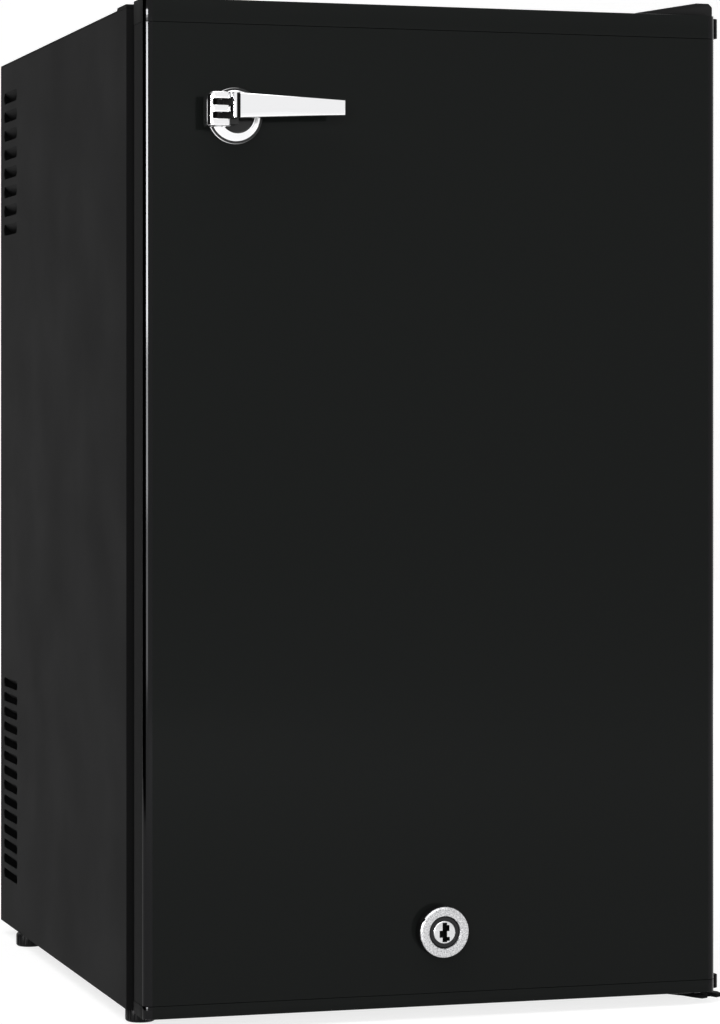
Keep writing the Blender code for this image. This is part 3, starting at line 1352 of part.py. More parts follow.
def keyway(b):
    """The stepped key slot in the core's face."""
    half = KEYWAY_LENGTH / 2
    wide = KEYWAY_WIDTH / 2
    shape = [(-wide, -half), (wide, -half), (wide, -half / 3), (2 * wide, 0.0),
             (wide, half / 3), (wide, half), (-wide, half), (-wide, half / 2),
             (-2 * wide, half / 6), (-wide, -half / 6)]
    shape = [(LOCK_X + u, LOCK_Z + v) for u, v in shape]
    return b.outline("keyway", [shape], 2 * KEYWAY_DEPTH, lock_front() + CORE_RECESS, "XZ")


def lock_core(b):
    """The turning core with its shaft to the cam."""
    front = lock_front() + CORE_RECESS
    rear = SKIN_REAR_Y + 2 * NUT_THICKNESS
    shaft = CORE_RADIUS * 0.4
    end = CAM_Y + CAM_THICKNESS + 2 * GAP
    edge = CORE_RECESS
    profile = [(0.0, end), (shaft, end), (shaft, rear), (CORE_RADIUS, rear),
               (CORE_RADIUS, front + edge), (CORE_RADIUS - edge, front), (0.0, front)]
    core = b.turned("lock_core", profile, (LOCK_X, 0.0, LOCK_Z), "Y", 24)
    return b.put(b.cut(core, keyway(b)), "lock_metal", "lock_axis")


def lock_cam(b):
    """The cam on the core's shaft that turns down behind the strike."""
    shaft = CORE_RADIUS * 0.4
    half = CAM_WIDTH / 2
    shape = arc((LOCK_X, LOCK_Z), half, 90, 270, 8)
    shape += [(LOCK_X + CAM_LENGTH - half / 2, LOCK_Z - half)]
    shape += [(LOCK_X + CAM_LENGTH, LOCK_Z - half / 2), (LOCK_X + CAM_LENGTH, LOCK_Z + half / 2)]
    shape += [(LOCK_X + CAM_LENGTH - half / 2, LOCK_Z + half)]
    hole = circle((LOCK_X, LOCK_Z), shaft + GAP, 16)
    cam = b.outline("lock_cam", [shape, hole], CAM_THICKNESS, CAM_Y + CAM_THICKNESS / 2, "XZ")
    return b.put(cam, "zinc_steel", "lock_axis")


def lock_strike(b):
    """The angled strike on the cavity's floor that the cam hooks behind."""
    low = CAVITY_FLOOR_Z + GAP
    sheet = 2 * SHEET
    lip = CAM_Y - SHEET - sheet
    path = [(lip, STRIKE_TOP_Z), (lip, low), (lip + STRIKE_WIDTH / 2, low)]
    strike = b.outline("lock_strike", [ribbon(path, sheet)], STRIKE_WIDTH, LOCK_X, "YZ")
    return b.put(strike, "zinc_steel")


# Assembly


def build_cabinet(b):
    """Shell, insulation and inner box."""
    side_panel(b, "side_panel_left", -1)
    side_panel(b, "side_panel_right", 1)
    top_panel(b)
    base_pan(b)
    rear_panel(b)
    insulation(b)
    inner_liner(b)
    rear_rail(b, "rear_rail_bottom", FLOOR_GAP, FLOOR_GAP + RAIL_HEIGHT)
    rear_rail(b, "rear_rail_top", ROOF_Z - GAP - RAIL_HEIGHT, ROOF_Z - GAP)


def build_inside(b):
    """Shelves, cold plate, gutter and controls."""
    shelf(b, "shelf_lower", SHELF_LEVELS[0])
    shelf(b, "shelf_upper", SHELF_LEVELS[1])
    evaporator(b)
    drip_gutter(b)
    control_housing(b)
    lamp_lens(b)
    thermostat_dial(b)
    lock_strike(b)


def build_unit(b):
    """The absorption cooling unit in the open back."""
    boiler(b)
    condenser(b)
    cooling_pipe(b)
    absorber_coil(b)
    absorber_tank(b)
    exchanger_pipe(b)
    unit_bracket(b, "boiler_strap_lower", BOILER_BOTTOM_Z + BOILER_HEIGHT * 0.2)
    unit_bracket(b, "boiler_strap_upper", BOILER_BOTTOM_Z + BOILER_HEIGHT * 0.75)
    tank_saddle(b, "tank_saddle", TANK_X)
    electrical_box(b)
    cable_gland(b)


def build_supports(b):
    """Feet and the two hinges' fixed pieces."""
    seat = PAN_Z - GAP
    foot(b, "foot_front_left", -FRONT_FOOT_X, FRONT_FOOT_Y, seat)
    foot(b, "foot_front_right", FRONT_FOOT_X, RIGHT_FOOT_Y, PAN_Z - HINGE_PLATE - 2 * GAP)
    foot(b, "foot_rear_left", -REAR_FOOT_X, REAR_FOOT_Y, seat)
    foot(b, "foot_rear_right", REAR_FOOT_X, REAR_FOOT_Y, seat)
    bottom_bracket(b)
    bracket_top = BRACKET_Z + HINGE_PLATE
    hinge_pin(b, "hinge_pin_bottom", bracket_top + GAP, SKIN_BOTTOM_Z - GAP * 3, True)
    top_plate(b)
    hinge_pin(b, "hinge_pin_top", SKIN_TOP_Z + GAP * 3, top_plate_low() - GAP, False)
    hinge_cover(b)


def build_door(b):
    """Everything that swings with the door."""
    door_skin(b)
    door_cap(b, "door_cap_bottom", DOOR_BOTTOM_Z, CAP_BOTTOM_HEIGHT,
             DOOR_BOTTOM_Z + LUG_INSET, LUG_BOTTOM_HEIGHT)
    door_cap(b, "door_cap_top", DOOR_TOP_Z - CAP_TOP_HEIGHT, CAP_TOP_HEIGHT,
             DOOR_TOP_Z - LUG_INSET - LUG_TOP_HEIGHT, LUG_TOP_HEIGHT)
    hinge_bush(b, "hinge_bush_bottom", DOOR_BOTTOM_Z + GAP, CAP_BOTTOM_HEIGHT - 2 * GAP)
    hinge_bush(b, "hinge_bush_top", SKIN_TOP_Z + 2 * GAP, CAP_TOP_HEIGHT - 2 * GAP)
    door_foam(b)
    door_liner(b)
    door_gasket(b)
    names = ("door_rack_lower", "door_rack_middle", "door_rack_upper")
    for name, share, height in zip(names, RACK_SHARES, RACK_HEIGHTS):
        door_rack(b, name, PLUG_BOTTOM_Z + share * (PLUG_TOP_Z - PLUG_BOTTOM_Z), height)
    handle_base(b)
    handle_pin(b)
    handle_lever(b)
    lock_escutcheon(b)
    lock_barrel(b)
    lock_nut(b)
    lock_core(b)
    lock_cam(b)


def main():
    """Build the whole fridge."""
    clear_scene()
    b = Builder()
    b.base("cabinet_frame", (0.0, 0.0, 0.0))
    b.bases["cabinet_frame"][0].location.y = FLANGE_Y
    b.base("door_axis", (HINGE_X, HINGE_Y, 0.0), "cabinet_frame")
    b.base("lever_axis", (PIVOT_X, PIVOT_Y, LEVER_Z), "door_axis")
    b.base("lock_axis", (LOCK_X, DOOR_FRONT_Y, LOCK_Z), "door_axis")
    b.base("thermostat_axis", (DIAL_X, CONTROL_FRONT_Y, dial_z()), "cabinet_frame")
    build_cabinet(b)
    build_inside(b)
    build_unit(b)
    build_supports(b)
    build_door(b)
    bpy.context.view_layer.update()


main()
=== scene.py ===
# %% [markdown]
# # A black minibar fridge
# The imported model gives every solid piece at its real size. This lesson dresses
# it: the camera and the studio come first, then the finishes, then the pieces
# whose form needs more than the plain solid has.

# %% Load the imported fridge
import json
import math

import bmesh
import bpy
from mathutils import Matrix, Vector


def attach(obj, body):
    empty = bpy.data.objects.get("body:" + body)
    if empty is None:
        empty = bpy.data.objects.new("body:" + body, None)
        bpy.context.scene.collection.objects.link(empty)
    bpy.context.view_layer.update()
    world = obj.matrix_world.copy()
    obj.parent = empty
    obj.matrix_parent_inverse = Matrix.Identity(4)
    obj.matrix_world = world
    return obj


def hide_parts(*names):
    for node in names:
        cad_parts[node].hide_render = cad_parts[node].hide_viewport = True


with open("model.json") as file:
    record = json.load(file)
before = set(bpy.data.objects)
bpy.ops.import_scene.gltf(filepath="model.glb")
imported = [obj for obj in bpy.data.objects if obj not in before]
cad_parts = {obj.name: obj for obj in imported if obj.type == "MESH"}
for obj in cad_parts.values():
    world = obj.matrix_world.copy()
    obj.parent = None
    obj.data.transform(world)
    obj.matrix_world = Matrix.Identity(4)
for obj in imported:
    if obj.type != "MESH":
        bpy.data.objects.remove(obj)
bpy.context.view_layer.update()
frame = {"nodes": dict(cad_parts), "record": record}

nodes = frame["nodes"]
flange_y = -0.1815
door_front = flange_y - 0.037

# %% [markdown]
# ## Camera
# The photograph looks at the fridge from 17 degrees to its left. All upright
# edges are parallel in it, as with a view camera: the lens stands level at
# mid height and its frame is shifted down. A long lens keeps the sides nearly
# parallel. The place comes from fitting the cabinet's straight edges.

# %% Place the camera
eye = Vector((-0.7236, -2.2757 + flange_y, 0.4022))
turn = math.radians(16.678)
camera = bpy.data.objects.new("camera", bpy.data.cameras.new("camera"))
bpy.context.scene.collection.objects.link(camera)
camera.location = eye
camera.rotation_euler = (math.radians(90), 0.0, -turn)
camera.data.sensor_fit = "VERTICAL"
camera.data.sensor_height = 36.0
camera.data.lens = 125.54
camera.data.shift_y = -0.1018
bpy.context.scene.camera = camera
print("lens:", camera.data.lens, "at", tuple(round(c, 3) for c in eye))

# %% [markdown]
# ## Studio
# A pale floor and a backdrop stand behind the fridge, in a white room. They show
# white to the camera, in mirrors and through glass, and the floor still darkens
# where the fridge shades it. Far from the fridge it glows fully, so that it
# meets the backdrop without a line.

# %% Stage material and surfaces


def seen_strength(tree, seen, other):
    """One strength for camera, mirror and glass rays, another for the rest."""
    path = tree.nodes.new("ShaderNodeLightPath")
    source = path.outputs["Is Camera Ray"]
    for kind in ("Is Glossy Ray", "Is Transmission Ray"):
        either = tree.nodes.new("ShaderNodeMath")
        either.operation = "MAXIMUM"
        tree.links.new(source, either.inputs[0])
        tree.links.new(path.outputs[kind], either.inputs[1])
        source = either.outputs[0]
    choice = tree.nodes.new("ShaderNodeMapRange")
    choice.inputs["To Min"].default_value = other
    choice.inputs["To Max"].default_value = seen
    tree.links.new(source, choice.inputs["Value"])
    return choice.outputs["Result"]


def stage_material(name, shade, glow):
    """A matt surface that also glows for camera, mirror and glass rays."""
    made = bpy.data.materials.new(name)
    made.use_nodes = True
    tree = made.node_tree
    tree.nodes.clear()
    out = tree.nodes.new("ShaderNodeOutputMaterial")
    add = tree.nodes.new("ShaderNodeAddShader")
    matt = tree.nodes.new("ShaderNodeBsdfDiffuse")
    matt.inputs["Color"].default_value = (shade, shade, shade, 1.0)
    light = tree.nodes.new("ShaderNodeEmission")
    tree.links.new(seen_strength(tree, glow, 0.0), light.inputs["Strength"])
    tree.links.new(matt.outputs[0], add.inputs[0])
    tree.links.new(light.outputs[0], add.inputs[1])
    tree.links.new(add.outputs[0], out.inputs["Surface"])
    return made


bpy.ops.object.select_all(action="DESELECT")
bpy.ops.mesh.primitive_plane_add(size=16.0, location=(0.0, 2.0, 0.0))
floor = bpy.context.object
floor.name = "floor"
near_glow = 0.80
floor_white = stage_material("floor_white", 0.34, near_glow)
floor.data.materials.append(floor_white)
floor_tree = floor_white.node_tree
spot = floor_tree.nodes.new("ShaderNodeNewGeometry")
away = floor_tree.nodes.new("ShaderNodeVectorMath")
away.operation = "LENGTH"
further = floor_tree.nodes.new("ShaderNodeMapRange")
further.inputs["From Min"].default_value = 0.9
further.inputs["From Max"].default_value = 1.8
further.inputs["To Min"].default_value = near_glow
further.inputs["To Max"].default_value = 1.0
floor_tree.links.new(spot.outputs["Position"], away.inputs[0])
floor_tree.links.new(away.outputs["Value"], further.inputs["Value"])
floor_tree.links.new(further.outputs["Result"], floor_tree.nodes["Map Range"].inputs["To Max"])
bpy.ops.mesh.primitive_plane_add(
    size=1.0, location=(1.6, 5.5, 1.6), rotation=(math.radians(90), 0.0, math.radians(-16.7)))
backdrop = bpy.context.object
backdrop.name = "backdrop"
backdrop.scale = (3.2, 5.0, 1.0)
backdrop.data.materials.append(stage_material("backdrop_white", 0.80, 0.80))
print("stage:", floor.name, backdrop.name)

# %% [markdown]
# ## Light
# Three banks of light on the left show only in reflections: the rounded door
# edge picks them up as a bright line that fades towards the floor. A soft fill
# beside the camera, one on the right and one overhead give the plain light. The
# flat door mirrors the plain white room on the right, and its coat is so dark
# that this only lifts it to a soft black.

# %% Lights


def soft_bank(name, centre, aim, width, height, radiance):
    """A rectangular area light of a chosen brightness, aimed at a point."""
    lamp = bpy.data.lights.new(name, "AREA")
    lamp.shape = "RECTANGLE"
    lamp.size = width
    lamp.size_y = height
    lamp.energy = radiance * math.pi * width * height
    holder = bpy.data.objects.new(name, lamp)
    bpy.context.scene.collection.objects.link(holder)
    holder.location = centre
    towards = Vector(aim) - Vector(centre)
    holder.rotation_euler = towards.to_track_quat("-Z", "Y").to_euler()
    holder.visible_camera = False
    print("light:", name, round(lamp.energy, 1), "W")
    return holder


edge = Vector((-0.198, door_front, 0.0))
bank_distance = 2.35


def bank_at(name, azimuth, low, high, width, radiance):
    """A bank seen from the door's left edge at an azimuth left of its front."""
    angle = math.radians(azimuth)
    x = edge.x - bank_distance * math.sin(angle)
    y = edge.y - bank_distance * math.cos(angle)
    middle = (low + high) / 2
    return soft_bank(name, (x, y, middle), (edge.x, edge.y, middle), width, high - low, radiance)


for bank_name, bank_bottom, bank_top, radiance in (
        ("bank_high", 0.49, 0.92, 60.0), ("bank_middle", 0.27, 0.485, 19.0),
        ("bank_low", 0.04, 0.265, 6.5)):
    bank = bank_at(bank_name, 60.0, bank_bottom, bank_top, 0.90, radiance)
    bank.visible_diffuse = False
front_fill = bank_at("front_fill", 12.0, 0.30, 1.10, 1.60, 6.8)
front_fill.visible_glossy = False
side_fill = soft_bank("side_fill", (2.9, 0.1, 1.1), (0.20, 0.05, 0.35), 1.8, 1.5, 7.0)
side_fill.visible_glossy = False
soft_bank("overhead", (-0.9, -0.7, 2.7), (0.0, 0.0, 0.3), 3.0, 3.0, 2.3)

# %% [markdown]
# A flag is a dark card that keeps light off something. This one stands on the
# left and is seen only in reflections, where it draws the dark line beside the
# door's bright edge. The room itself is white to the camera and to mirrors, but
# gives the object little light, so that the lamps still shape it.

# %% Flag and room
bpy.ops.mesh.primitive_plane_add(
    size=1.0, location=(-1.4, 0.33, 0.80), rotation=(0.0, math.radians(90), 0.0))
flag = bpy.context.object
flag.name = "flag"
flag.scale = (1.6, 1.7, 1.0)
flag.data.materials.append(stage_material("flag_black", 0.01, 0.0))
flag.visible_camera = flag.visible_diffuse = flag.visible_shadow = False
world = bpy.data.worlds.new("room")
bpy.context.scene.world = world
world.use_nodes = True
sky = world.node_tree.nodes["Background"]
sky.inputs["Color"].default_value = (1.0, 1.0, 1.0, 1.0)
room_white = seen_strength(world.node_tree, 1.0, 0.12)
world.node_tree.links.new(room_white, sky.inputs["Strength"])
bpy.context.scene.view_settings.view_transform = "Standard"
print("flag:", flag.name, "world:", world.name)

# %% [markdown]
# ## Finishes
# Every finish is a Principled shader with a little life in its roughness and
# surface: powder coat has a fine orange-peel, moulded plastic a spark-eroded
# grain, zinc plate a soft cloudiness. The patterns read Object coordinates,
# because every piece keeps its place in its mesh.

# %% Helpers for finishes


def new_finish(name, colour, roughness, metallic=0.0, specular=0.5):
    """A material with a Principled shader and Object coordinates at hand."""
    made = bpy.data.materials.new(name)
    made.use_nodes = True
    tree = made.node_tree
    shader = tree.nodes["Principled BSDF"]
    shader.inputs["Base Color"].default_value = (*colour, 1.0)
    shader.inputs["Roughness"].default_value = roughness
    shader.inputs["Metallic"].default_value = metallic
    shader.inputs["Specular IOR Level"].default_value = specular
    made.diffuse_color = (*colour, 1.0)
    place = tree.nodes.new("ShaderNodeTexCoord")
    place.name = "place"
    print("finish:", name)
    return made


def noise(made, scale, detail=3.0, stretch=(1.0, 1.0, 1.0)):
    """Noise on Object coordinates, stretched if it is asked for."""
    tree = made.node_tree
    mapping = tree.nodes.new("ShaderNodeMapping")
    mapping.inputs["Scale"].default_value = stretch
    grain = tree.nodes.new("ShaderNodeTexNoise")
    grain.inputs["Scale"].default_value = scale
    grain.inputs["Detail"].default_value = detail
    tree.links.new(tree.nodes["place"].outputs["Object"], mapping.inputs["Vector"])
    tree.links.new(mapping.outputs["Vector"], grain.inputs["Vector"])
    return grain.outputs["Fac"]


def spread(made, source, low, high):
    """Map a noise from its middle range to low..high."""
    tree = made.node_tree
    remap = tree.nodes.new("ShaderNodeMapRange")
    remap.inputs["From Min"].default_value = 0.3
    remap.inputs["From Max"].default_value = 0.7
    remap.inputs["To Min"].default_value = low
    remap.inputs["To Max"].default_value = high
    tree.links.new(source, remap.inputs["Value"])
    return remap.outputs["Result"]


def shimmer(made, source, low, high):
    """Let the roughness wander between two values."""
    shader = made.node_tree.nodes["Principled BSDF"]
    made.node_tree.links.new(spread(made, source, low, high), shader.inputs["Roughness"])


def tint(made, source, dark, pale):
    """Let the colour wander between two colours."""
    tree = made.node_tree
    shader = tree.nodes["Principled BSDF"]
    blend = tree.nodes.new("ShaderNodeMix")
    blend.data_type = "RGBA"
    blend.inputs["A"].default_value = (*dark, 1.0)
    blend.inputs["B"].default_value = (*pale, 1.0)
    tree.links.new(spread(made, source, 0.0, 1.0), blend.inputs["Factor"])
    tree.links.new(blend.outputs["Result"], shader.inputs["Base Color"])


def relief(made, source, distance, strength=1.0):
    """Bump the surface by a noise, in metres."""
    tree = made.node_tree
    shader = tree.nodes["Principled BSDF"]
    bump = tree.nodes.new("ShaderNodeBump")
    bump.inputs["Strength"].default_value = strength
    bump.inputs["Distance"].default_value = distance
    tree.links.new(source, bump.inputs["Height"])
    tree.links.new(bump.outputs["Normal"], shader.inputs["Normal"])


# %% [markdown]
# The cabinet is powder coated: nearly black, satin, with a very fine peel. The
# door is smoother and glossier. Caps, covers and feet are moulded plastic.

# %% Blacks
cabinet_paint = new_finish("cabinet_paint", (0.0085, 0.0085, 0.0087), 0.60, 0.0, 0.018)
relief(cabinet_paint, noise(cabinet_paint, 900.0, 2.0), 0.00003, 0.35)
shimmer(cabinet_paint, noise(cabinet_paint, 14.0), 0.57, 0.63)
tint(cabinet_paint, noise(cabinet_paint, 5.0), (0.0080, 0.0080, 0.0082), (0.0090, 0.0090, 0.0092))

door_gloss = new_finish("door_gloss", (0.0078, 0.0088, 0.0084), 0.08, 0.0, 0.07)
relief(door_gloss, noise(door_gloss, 260.0, 2.0), 0.000004, 0.10)


def reach_mask(made, low, high):
    """1 where a piece reaches further sideways than low, over a short ramp."""
    tree = made.node_tree
    split = tree.nodes.new("ShaderNodeSeparateXYZ")
    reach = tree.nodes.new("ShaderNodeMath")
    reach.operation = "ABSOLUTE"
    ramp = tree.nodes.new("ShaderNodeMapRange")
    ramp.inputs["From Min"].default_value = low
    ramp.inputs["From Max"].default_value = high
    tree.links.new(tree.nodes["place"].outputs["Object"], split.inputs["Vector"])
    tree.links.new(split.outputs["X"], reach.inputs[0])
    tree.links.new(reach.outputs[0], ramp.inputs["Value"])
    return ramp.outputs["Result"]


def blend_by(made, mask, socket, first, second):
    """Blend one value or colour of the shader, or what drives it, to another."""
    tree = made.node_tree
    target = tree.nodes["Principled BSDF"].inputs[socket]
    colour = isinstance(second, tuple)
    mix = tree.nodes.new("ShaderNodeMix")
    mix.data_type = "RGBA" if colour else "FLOAT"
    # A Mix node has its two numbers at 2 and 3, and its two colours at 6 and 7.
    first_input, result = (6, 2) if colour else (2, 0)
    for at, value in ((first_input, first), (first_input + 1, second)):
        if value is not None:
            mix.inputs[at].default_value = (*value, 1.0) if colour else value
    if first is None:
        tree.links.new(target.links[0].from_socket, mix.inputs[first_input])
    tree.links.new(mask, mix.inputs["Factor"])
    tree.links.new(mix.outputs[result], target)


# Sideways from the middle: the flat front, then the bright fold, then the side.
fold = reach_mask(door_gloss, 0.1918, 0.1926)
flank = reach_mask(door_gloss, 0.19775, 0.1979)
blend_by(door_gloss, fold, "Metallic", 0.0, 1.0)
blend_by(door_gloss, flank, "Metallic", None, 0.0)
blend_by(door_gloss, fold, "Base Color", (0.0084, 0.0095, 0.0090), (0.015, 0.015, 0.0155))
blend_by(door_gloss, flank, "Base Color", None, (0.0050, 0.0050, 0.0051))
blend_by(door_gloss, flank, "Roughness", 0.075, 0.80)

black_moulding = new_finish("black_moulding", (0.0110, 0.0110, 0.0112), 0.40, 0.0, 0.10)
relief(black_moulding, noise(black_moulding, 2400.0, 1.0), 0.00003, 0.25)
shimmer(black_moulding, noise(black_moulding, 30.0), 0.34, 0.46)

seal_rubber = new_finish("seal_rubber", (0.0045, 0.0045, 0.0047), 0.75, 0.0, 0.1)
relief(seal_rubber, noise(seal_rubber, 700.0, 2.0), 0.00004, 0.2)
shimmer(seal_rubber, noise(seal_rubber, 40.0), 0.68, 0.82)

# %% [markdown]
# Inside, the vacuum-formed sheet is pale grey, shelves are white coated wire,
# and racks are clear. The door's foam is nearly black as painted shade, which is
# what shows in the seam under its cap. Metals are chrome, nickel, zinc and aluminium.

# %% Pale plastics and wire
liner_sheet = new_finish("liner_sheet", (0.60, 0.61, 0.61), 0.42, 0.0, 0.4)
relief(liner_sheet, noise(liner_sheet, 1100.0, 2.0), 0.00003, 0.15)
shimmer(liner_sheet, noise(liner_sheet, 9.0), 0.36, 0.48)

white_moulding = new_finish("white_moulding", (0.74, 0.74, 0.72), 0.38)
relief(white_moulding, noise(white_moulding, 2000.0, 1.0), 0.00002, 0.15)
shimmer(white_moulding, noise(white_moulding, 25.0), 0.33, 0.45)

wire_coat = new_finish("wire_coat", (0.74, 0.74, 0.73), 0.30)
shimmer(wire_coat, noise(wire_coat, 60.0), 0.24, 0.38)

rack_clear = new_finish("rack_clear", (0.86, 0.89, 0.91), 0.10)
rack_clear.node_tree.nodes["Principled BSDF"].inputs["Transmission Weight"].default_value = 0.75
shimmer(rack_clear, noise(rack_clear, 20.0), 0.07, 0.14)

foam_fill = new_finish("foam_fill", (0.70, 0.60, 0.38), 0.85)
tint(foam_fill, noise(foam_fill, 90.0), (0.62, 0.52, 0.31), (0.78, 0.69, 0.46))

# Nearly black: painted shade that shows in the seam under the door's cap.
foam_painted_shade = new_finish("foam_painted_shade", (0.012, 0.012, 0.012), 0.7, 0.0, 0.1)
shimmer(foam_painted_shade, noise(foam_painted_shade, 50.0), 0.6, 0.8)

# %% Metals
chrome_plate = new_finish("chrome_plate", (0.86, 0.86, 0.87), 0.06, 1.0)
shimmer(chrome_plate, noise(chrome_plate, 60.0), 0.045, 0.085)

lock_nickel = new_finish("lock_nickel", (0.66, 0.66, 0.67), 0.22, 1.0)
relief(lock_nickel, noise(lock_nickel, 420.0, 3.0), 0.00008, 0.5)
shimmer(lock_nickel, noise(lock_nickel, 500.0), 0.14, 0.34)

zinc_plate = new_finish("zinc_plate", (0.50, 0.50, 0.50), 0.38, 1.0)
shimmer(zinc_plate, noise(zinc_plate, 220.0, 3.0), 0.36, 0.46)
tint(zinc_plate, noise(zinc_plate, 160.0, 4.0), (0.47, 0.48, 0.49), (0.55, 0.55, 0.55))

mill_aluminium = new_finish("mill_aluminium", (0.70, 0.71, 0.72), 0.35, 1.0)
shimmer(mill_aluminium, noise(mill_aluminium, 300.0, 2.0, (1.0, 1.0, 0.04)), 0.25, 0.45)

pipe_black = new_finish("pipe_black", (0.016, 0.016, 0.017), 0.42, 0.0, 0.4)
relief(pipe_black, noise(pipe_black, 500.0, 2.0), 0.00005, 0.3)
shimmer(pipe_black, noise(pipe_black, 40.0), 0.34, 0.52)

# Nearly black: painted shade of the gap between the lock's ring and its core.
barrel_painted_shade = new_finish("barrel_painted_shade", (0.030, 0.030, 0.031), 0.35, 1.0)
shimmer(barrel_painted_shade, noise(barrel_painted_shade, 400.0), 0.28, 0.50)

finish_of_slot = {
    "black_paint": cabinet_paint, "black_gloss": door_gloss,
    "black_plastic": black_moulding, "gasket_rubber": seal_rubber,
    "grey_plastic": liner_sheet, "white_plastic": white_moulding,
    "clear_plastic": rack_clear, "foam": foam_fill, "chrome": chrome_plate,
    "lock_metal": lock_nickel, "zinc_steel": zinc_plate,
    "aluminium": mill_aluminium, "white_wire": wire_coat, "pipe_paint": pipe_black,
}
print("finishes:", len(finish_of_slot))

# %% [markdown]
# ## Dress the solids
# A solid whose form is right only needs its finish and smooth shading. The
# solids come in as loose triangles, so their points are welded and flat faces
# are made one face again; a few get a small round on their edges that catches light.

# %% Smoothing helper


def smooth_by_edges(name, angle):
    """A node group that shades faces smooth up to an edge angle."""
    group = bpy.data.node_groups.new(name, "GeometryNodeTree")
    group.interface.new_socket("Geometry", in_out="INPUT", socket_type="NodeSocketGeometry")
    group.interface.new_socket("Geometry", in_out="OUTPUT", socket_type="NodeSocketGeometry")
    start = group.nodes.new("NodeGroupInput")
    end = group.nodes.new("NodeGroupOutput")
    faces = group.nodes.new("GeometryNodeSetShadeSmooth")
    edges = group.nodes.new("GeometryNodeSetShadeSmooth")
    edges.domain = "EDGE"
    bend = group.nodes.new("GeometryNodeInputMeshEdgeAngle")
    gentle = group.nodes.new("FunctionNodeCompare")
    gentle.operation = "LESS_THAN"
    gentle.inputs[1].default_value = math.radians(angle)
    group.links.new(start.outputs[0], faces.inputs["Geometry"])
    group.links.new(faces.outputs["Geometry"], edges.inputs["Geometry"])
    group.links.new(bend.outputs["Unsigned Angle"], gentle.inputs[0])
    group.links.new(gentle.outputs[0], edges.inputs["Shade Smooth"])
    group.links.new(edges.outputs["Geometry"], end.inputs[0])
    return group


soft_angle = 42.0
weld_reach, flat_angle = 0.000004, 0.4
soft_edges = smooth_by_edges("soft_edges", soft_angle)


def soften(piece, width, angle):
    """Round the edges sharper than an angle by a Bevel modifier."""
    rounds = piece.modifiers.new("edges", "BEVEL")
    rounds.width = width
    rounds.segments = 2
    rounds.limit_method = "ANGLE"
    rounds.angle_limit = math.radians(angle)


def dress(node, finish, edge=0.0):
    """Give a CAD node its finish, smooth shading and small edge rounds."""
    piece = nodes[node]
    for slot in piece.material_slots:
        slot.material = finish
    weld = piece.modifiers.new("weld", "WELD")
    weld.merge_threshold = weld_reach
    flats = piece.modifiers.new("flats", "DECIMATE")
    flats.decimate_type = "DISSOLVE"
    flats.angle_limit = math.radians(flat_angle)
    if edge > 0.0:
        soften(piece, edge, soft_angle)
    shade = piece.modifiers.new("shade", "NODES")
    shade.node_group = soft_edges


edge_rounds = {
    "hinge_bracket_bottom": 0.0003, "control_housing": 0.0005,
    "electrical_box": 0.0004, "rear_rail_top": 0.0002, "rear_rail_bottom": 0.0002,
}
slot_of_node = {part["node"]: part["material_slot"] for part in frame["record"]["subparts"]}
# The lock barrel's near-black finish is painted shade of the gap round the core.
own_finish = {
    "door_cap_top": door_gloss, "door_cap_bottom": door_gloss, "lock_barrel": barrel_painted_shade,
    # The foam's near-black finish is painted shade in the seam under the door's cap.
    "door_foam": foam_painted_shade,
}
for node_name, slot_name in slot_of_node.items():
    dress(node_name, own_finish.get(node_name, finish_of_slot[slot_name]),
          edge_rounds.get(node_name, 0.0))
print("dressed:", len(slot_of_node))

# %% [markdown]
# ## Tools for modelling by hand
# Each further piece starts as a primitive and is shaped in edit mode. Picking
# faces by a test in code stands in for clicking on them. A turned piece is a
# profile drawn point by point and spun round its axis.

# %% Helpers for picking and finishing


def begin(name, add, **size):
    """Add one primitive, keep its place in its mesh and enter edit mode."""
    if bpy.context.object and bpy.context.object.mode != "OBJECT":
        bpy.ops.object.mode_set(mode="OBJECT")
    bpy.ops.object.select_all(action="DESELECT")
    add(**size)
    piece = bpy.context.object
    piece.name = name
    bpy.ops.object.transform_apply(location=True, rotation=True, scale=True)
    bpy.ops.object.mode_set(mode="EDIT")
    return piece


def block(name, low, high):
    """A box between two corners, ready in edit mode."""
    size = [b - a for a, b in zip(low, high)]
    centre = [(a + b) / 2 for a, b in zip(low, high)]
    return begin(name, bpy.ops.mesh.primitive_cube_add, size=1.0, location=centre, scale=size)


def pick(test, kind="FACE"):
    """Select the faces or edges whose middle and direction pass a test."""
    piece = bpy.context.object
    bpy.ops.mesh.select_mode(type=kind)
    bpy.ops.mesh.select_all(action="DESELECT")
    shape = bmesh.from_edit_mesh(piece.data)
    shape.normal_update()
    for item in (shape.faces if kind == "FACE" else shape.edges):
        centre = sum((v.co for v in item.verts), Vector()) / len(item.verts)
        if kind == "FACE":
            way = item.normal
        else:
            way = (item.verts[1].co - item.verts[0].co).normalized()
        item.select_set(bool(test(centre, way)))
    bmesh.update_edit_mesh(piece.data)


def slice_off(point, normal):
    """Bisect the whole mesh, throw away the outer side and close the cut."""
    bpy.ops.mesh.select_all(action="SELECT")
    bpy.ops.mesh.bisect(plane_co=point, plane_no=normal, use_fill=True, clear_outer=True)


def round_edges(width, segments, test=None):
    """Bevel the edges that pass a test, or all sharper than 30 degrees."""
    if test:
        pick(test, "EDGE")
    else:
        bpy.ops.mesh.select_mode(type="EDGE")
        bpy.ops.mesh.select_all(action="DESELECT")
        bpy.ops.mesh.edges_select_sharp(sharpness=math.radians(30.0))
    bpy.ops.mesh.bevel(offset=width, segments=segments, affect="EDGES", clamp_overlap=True)


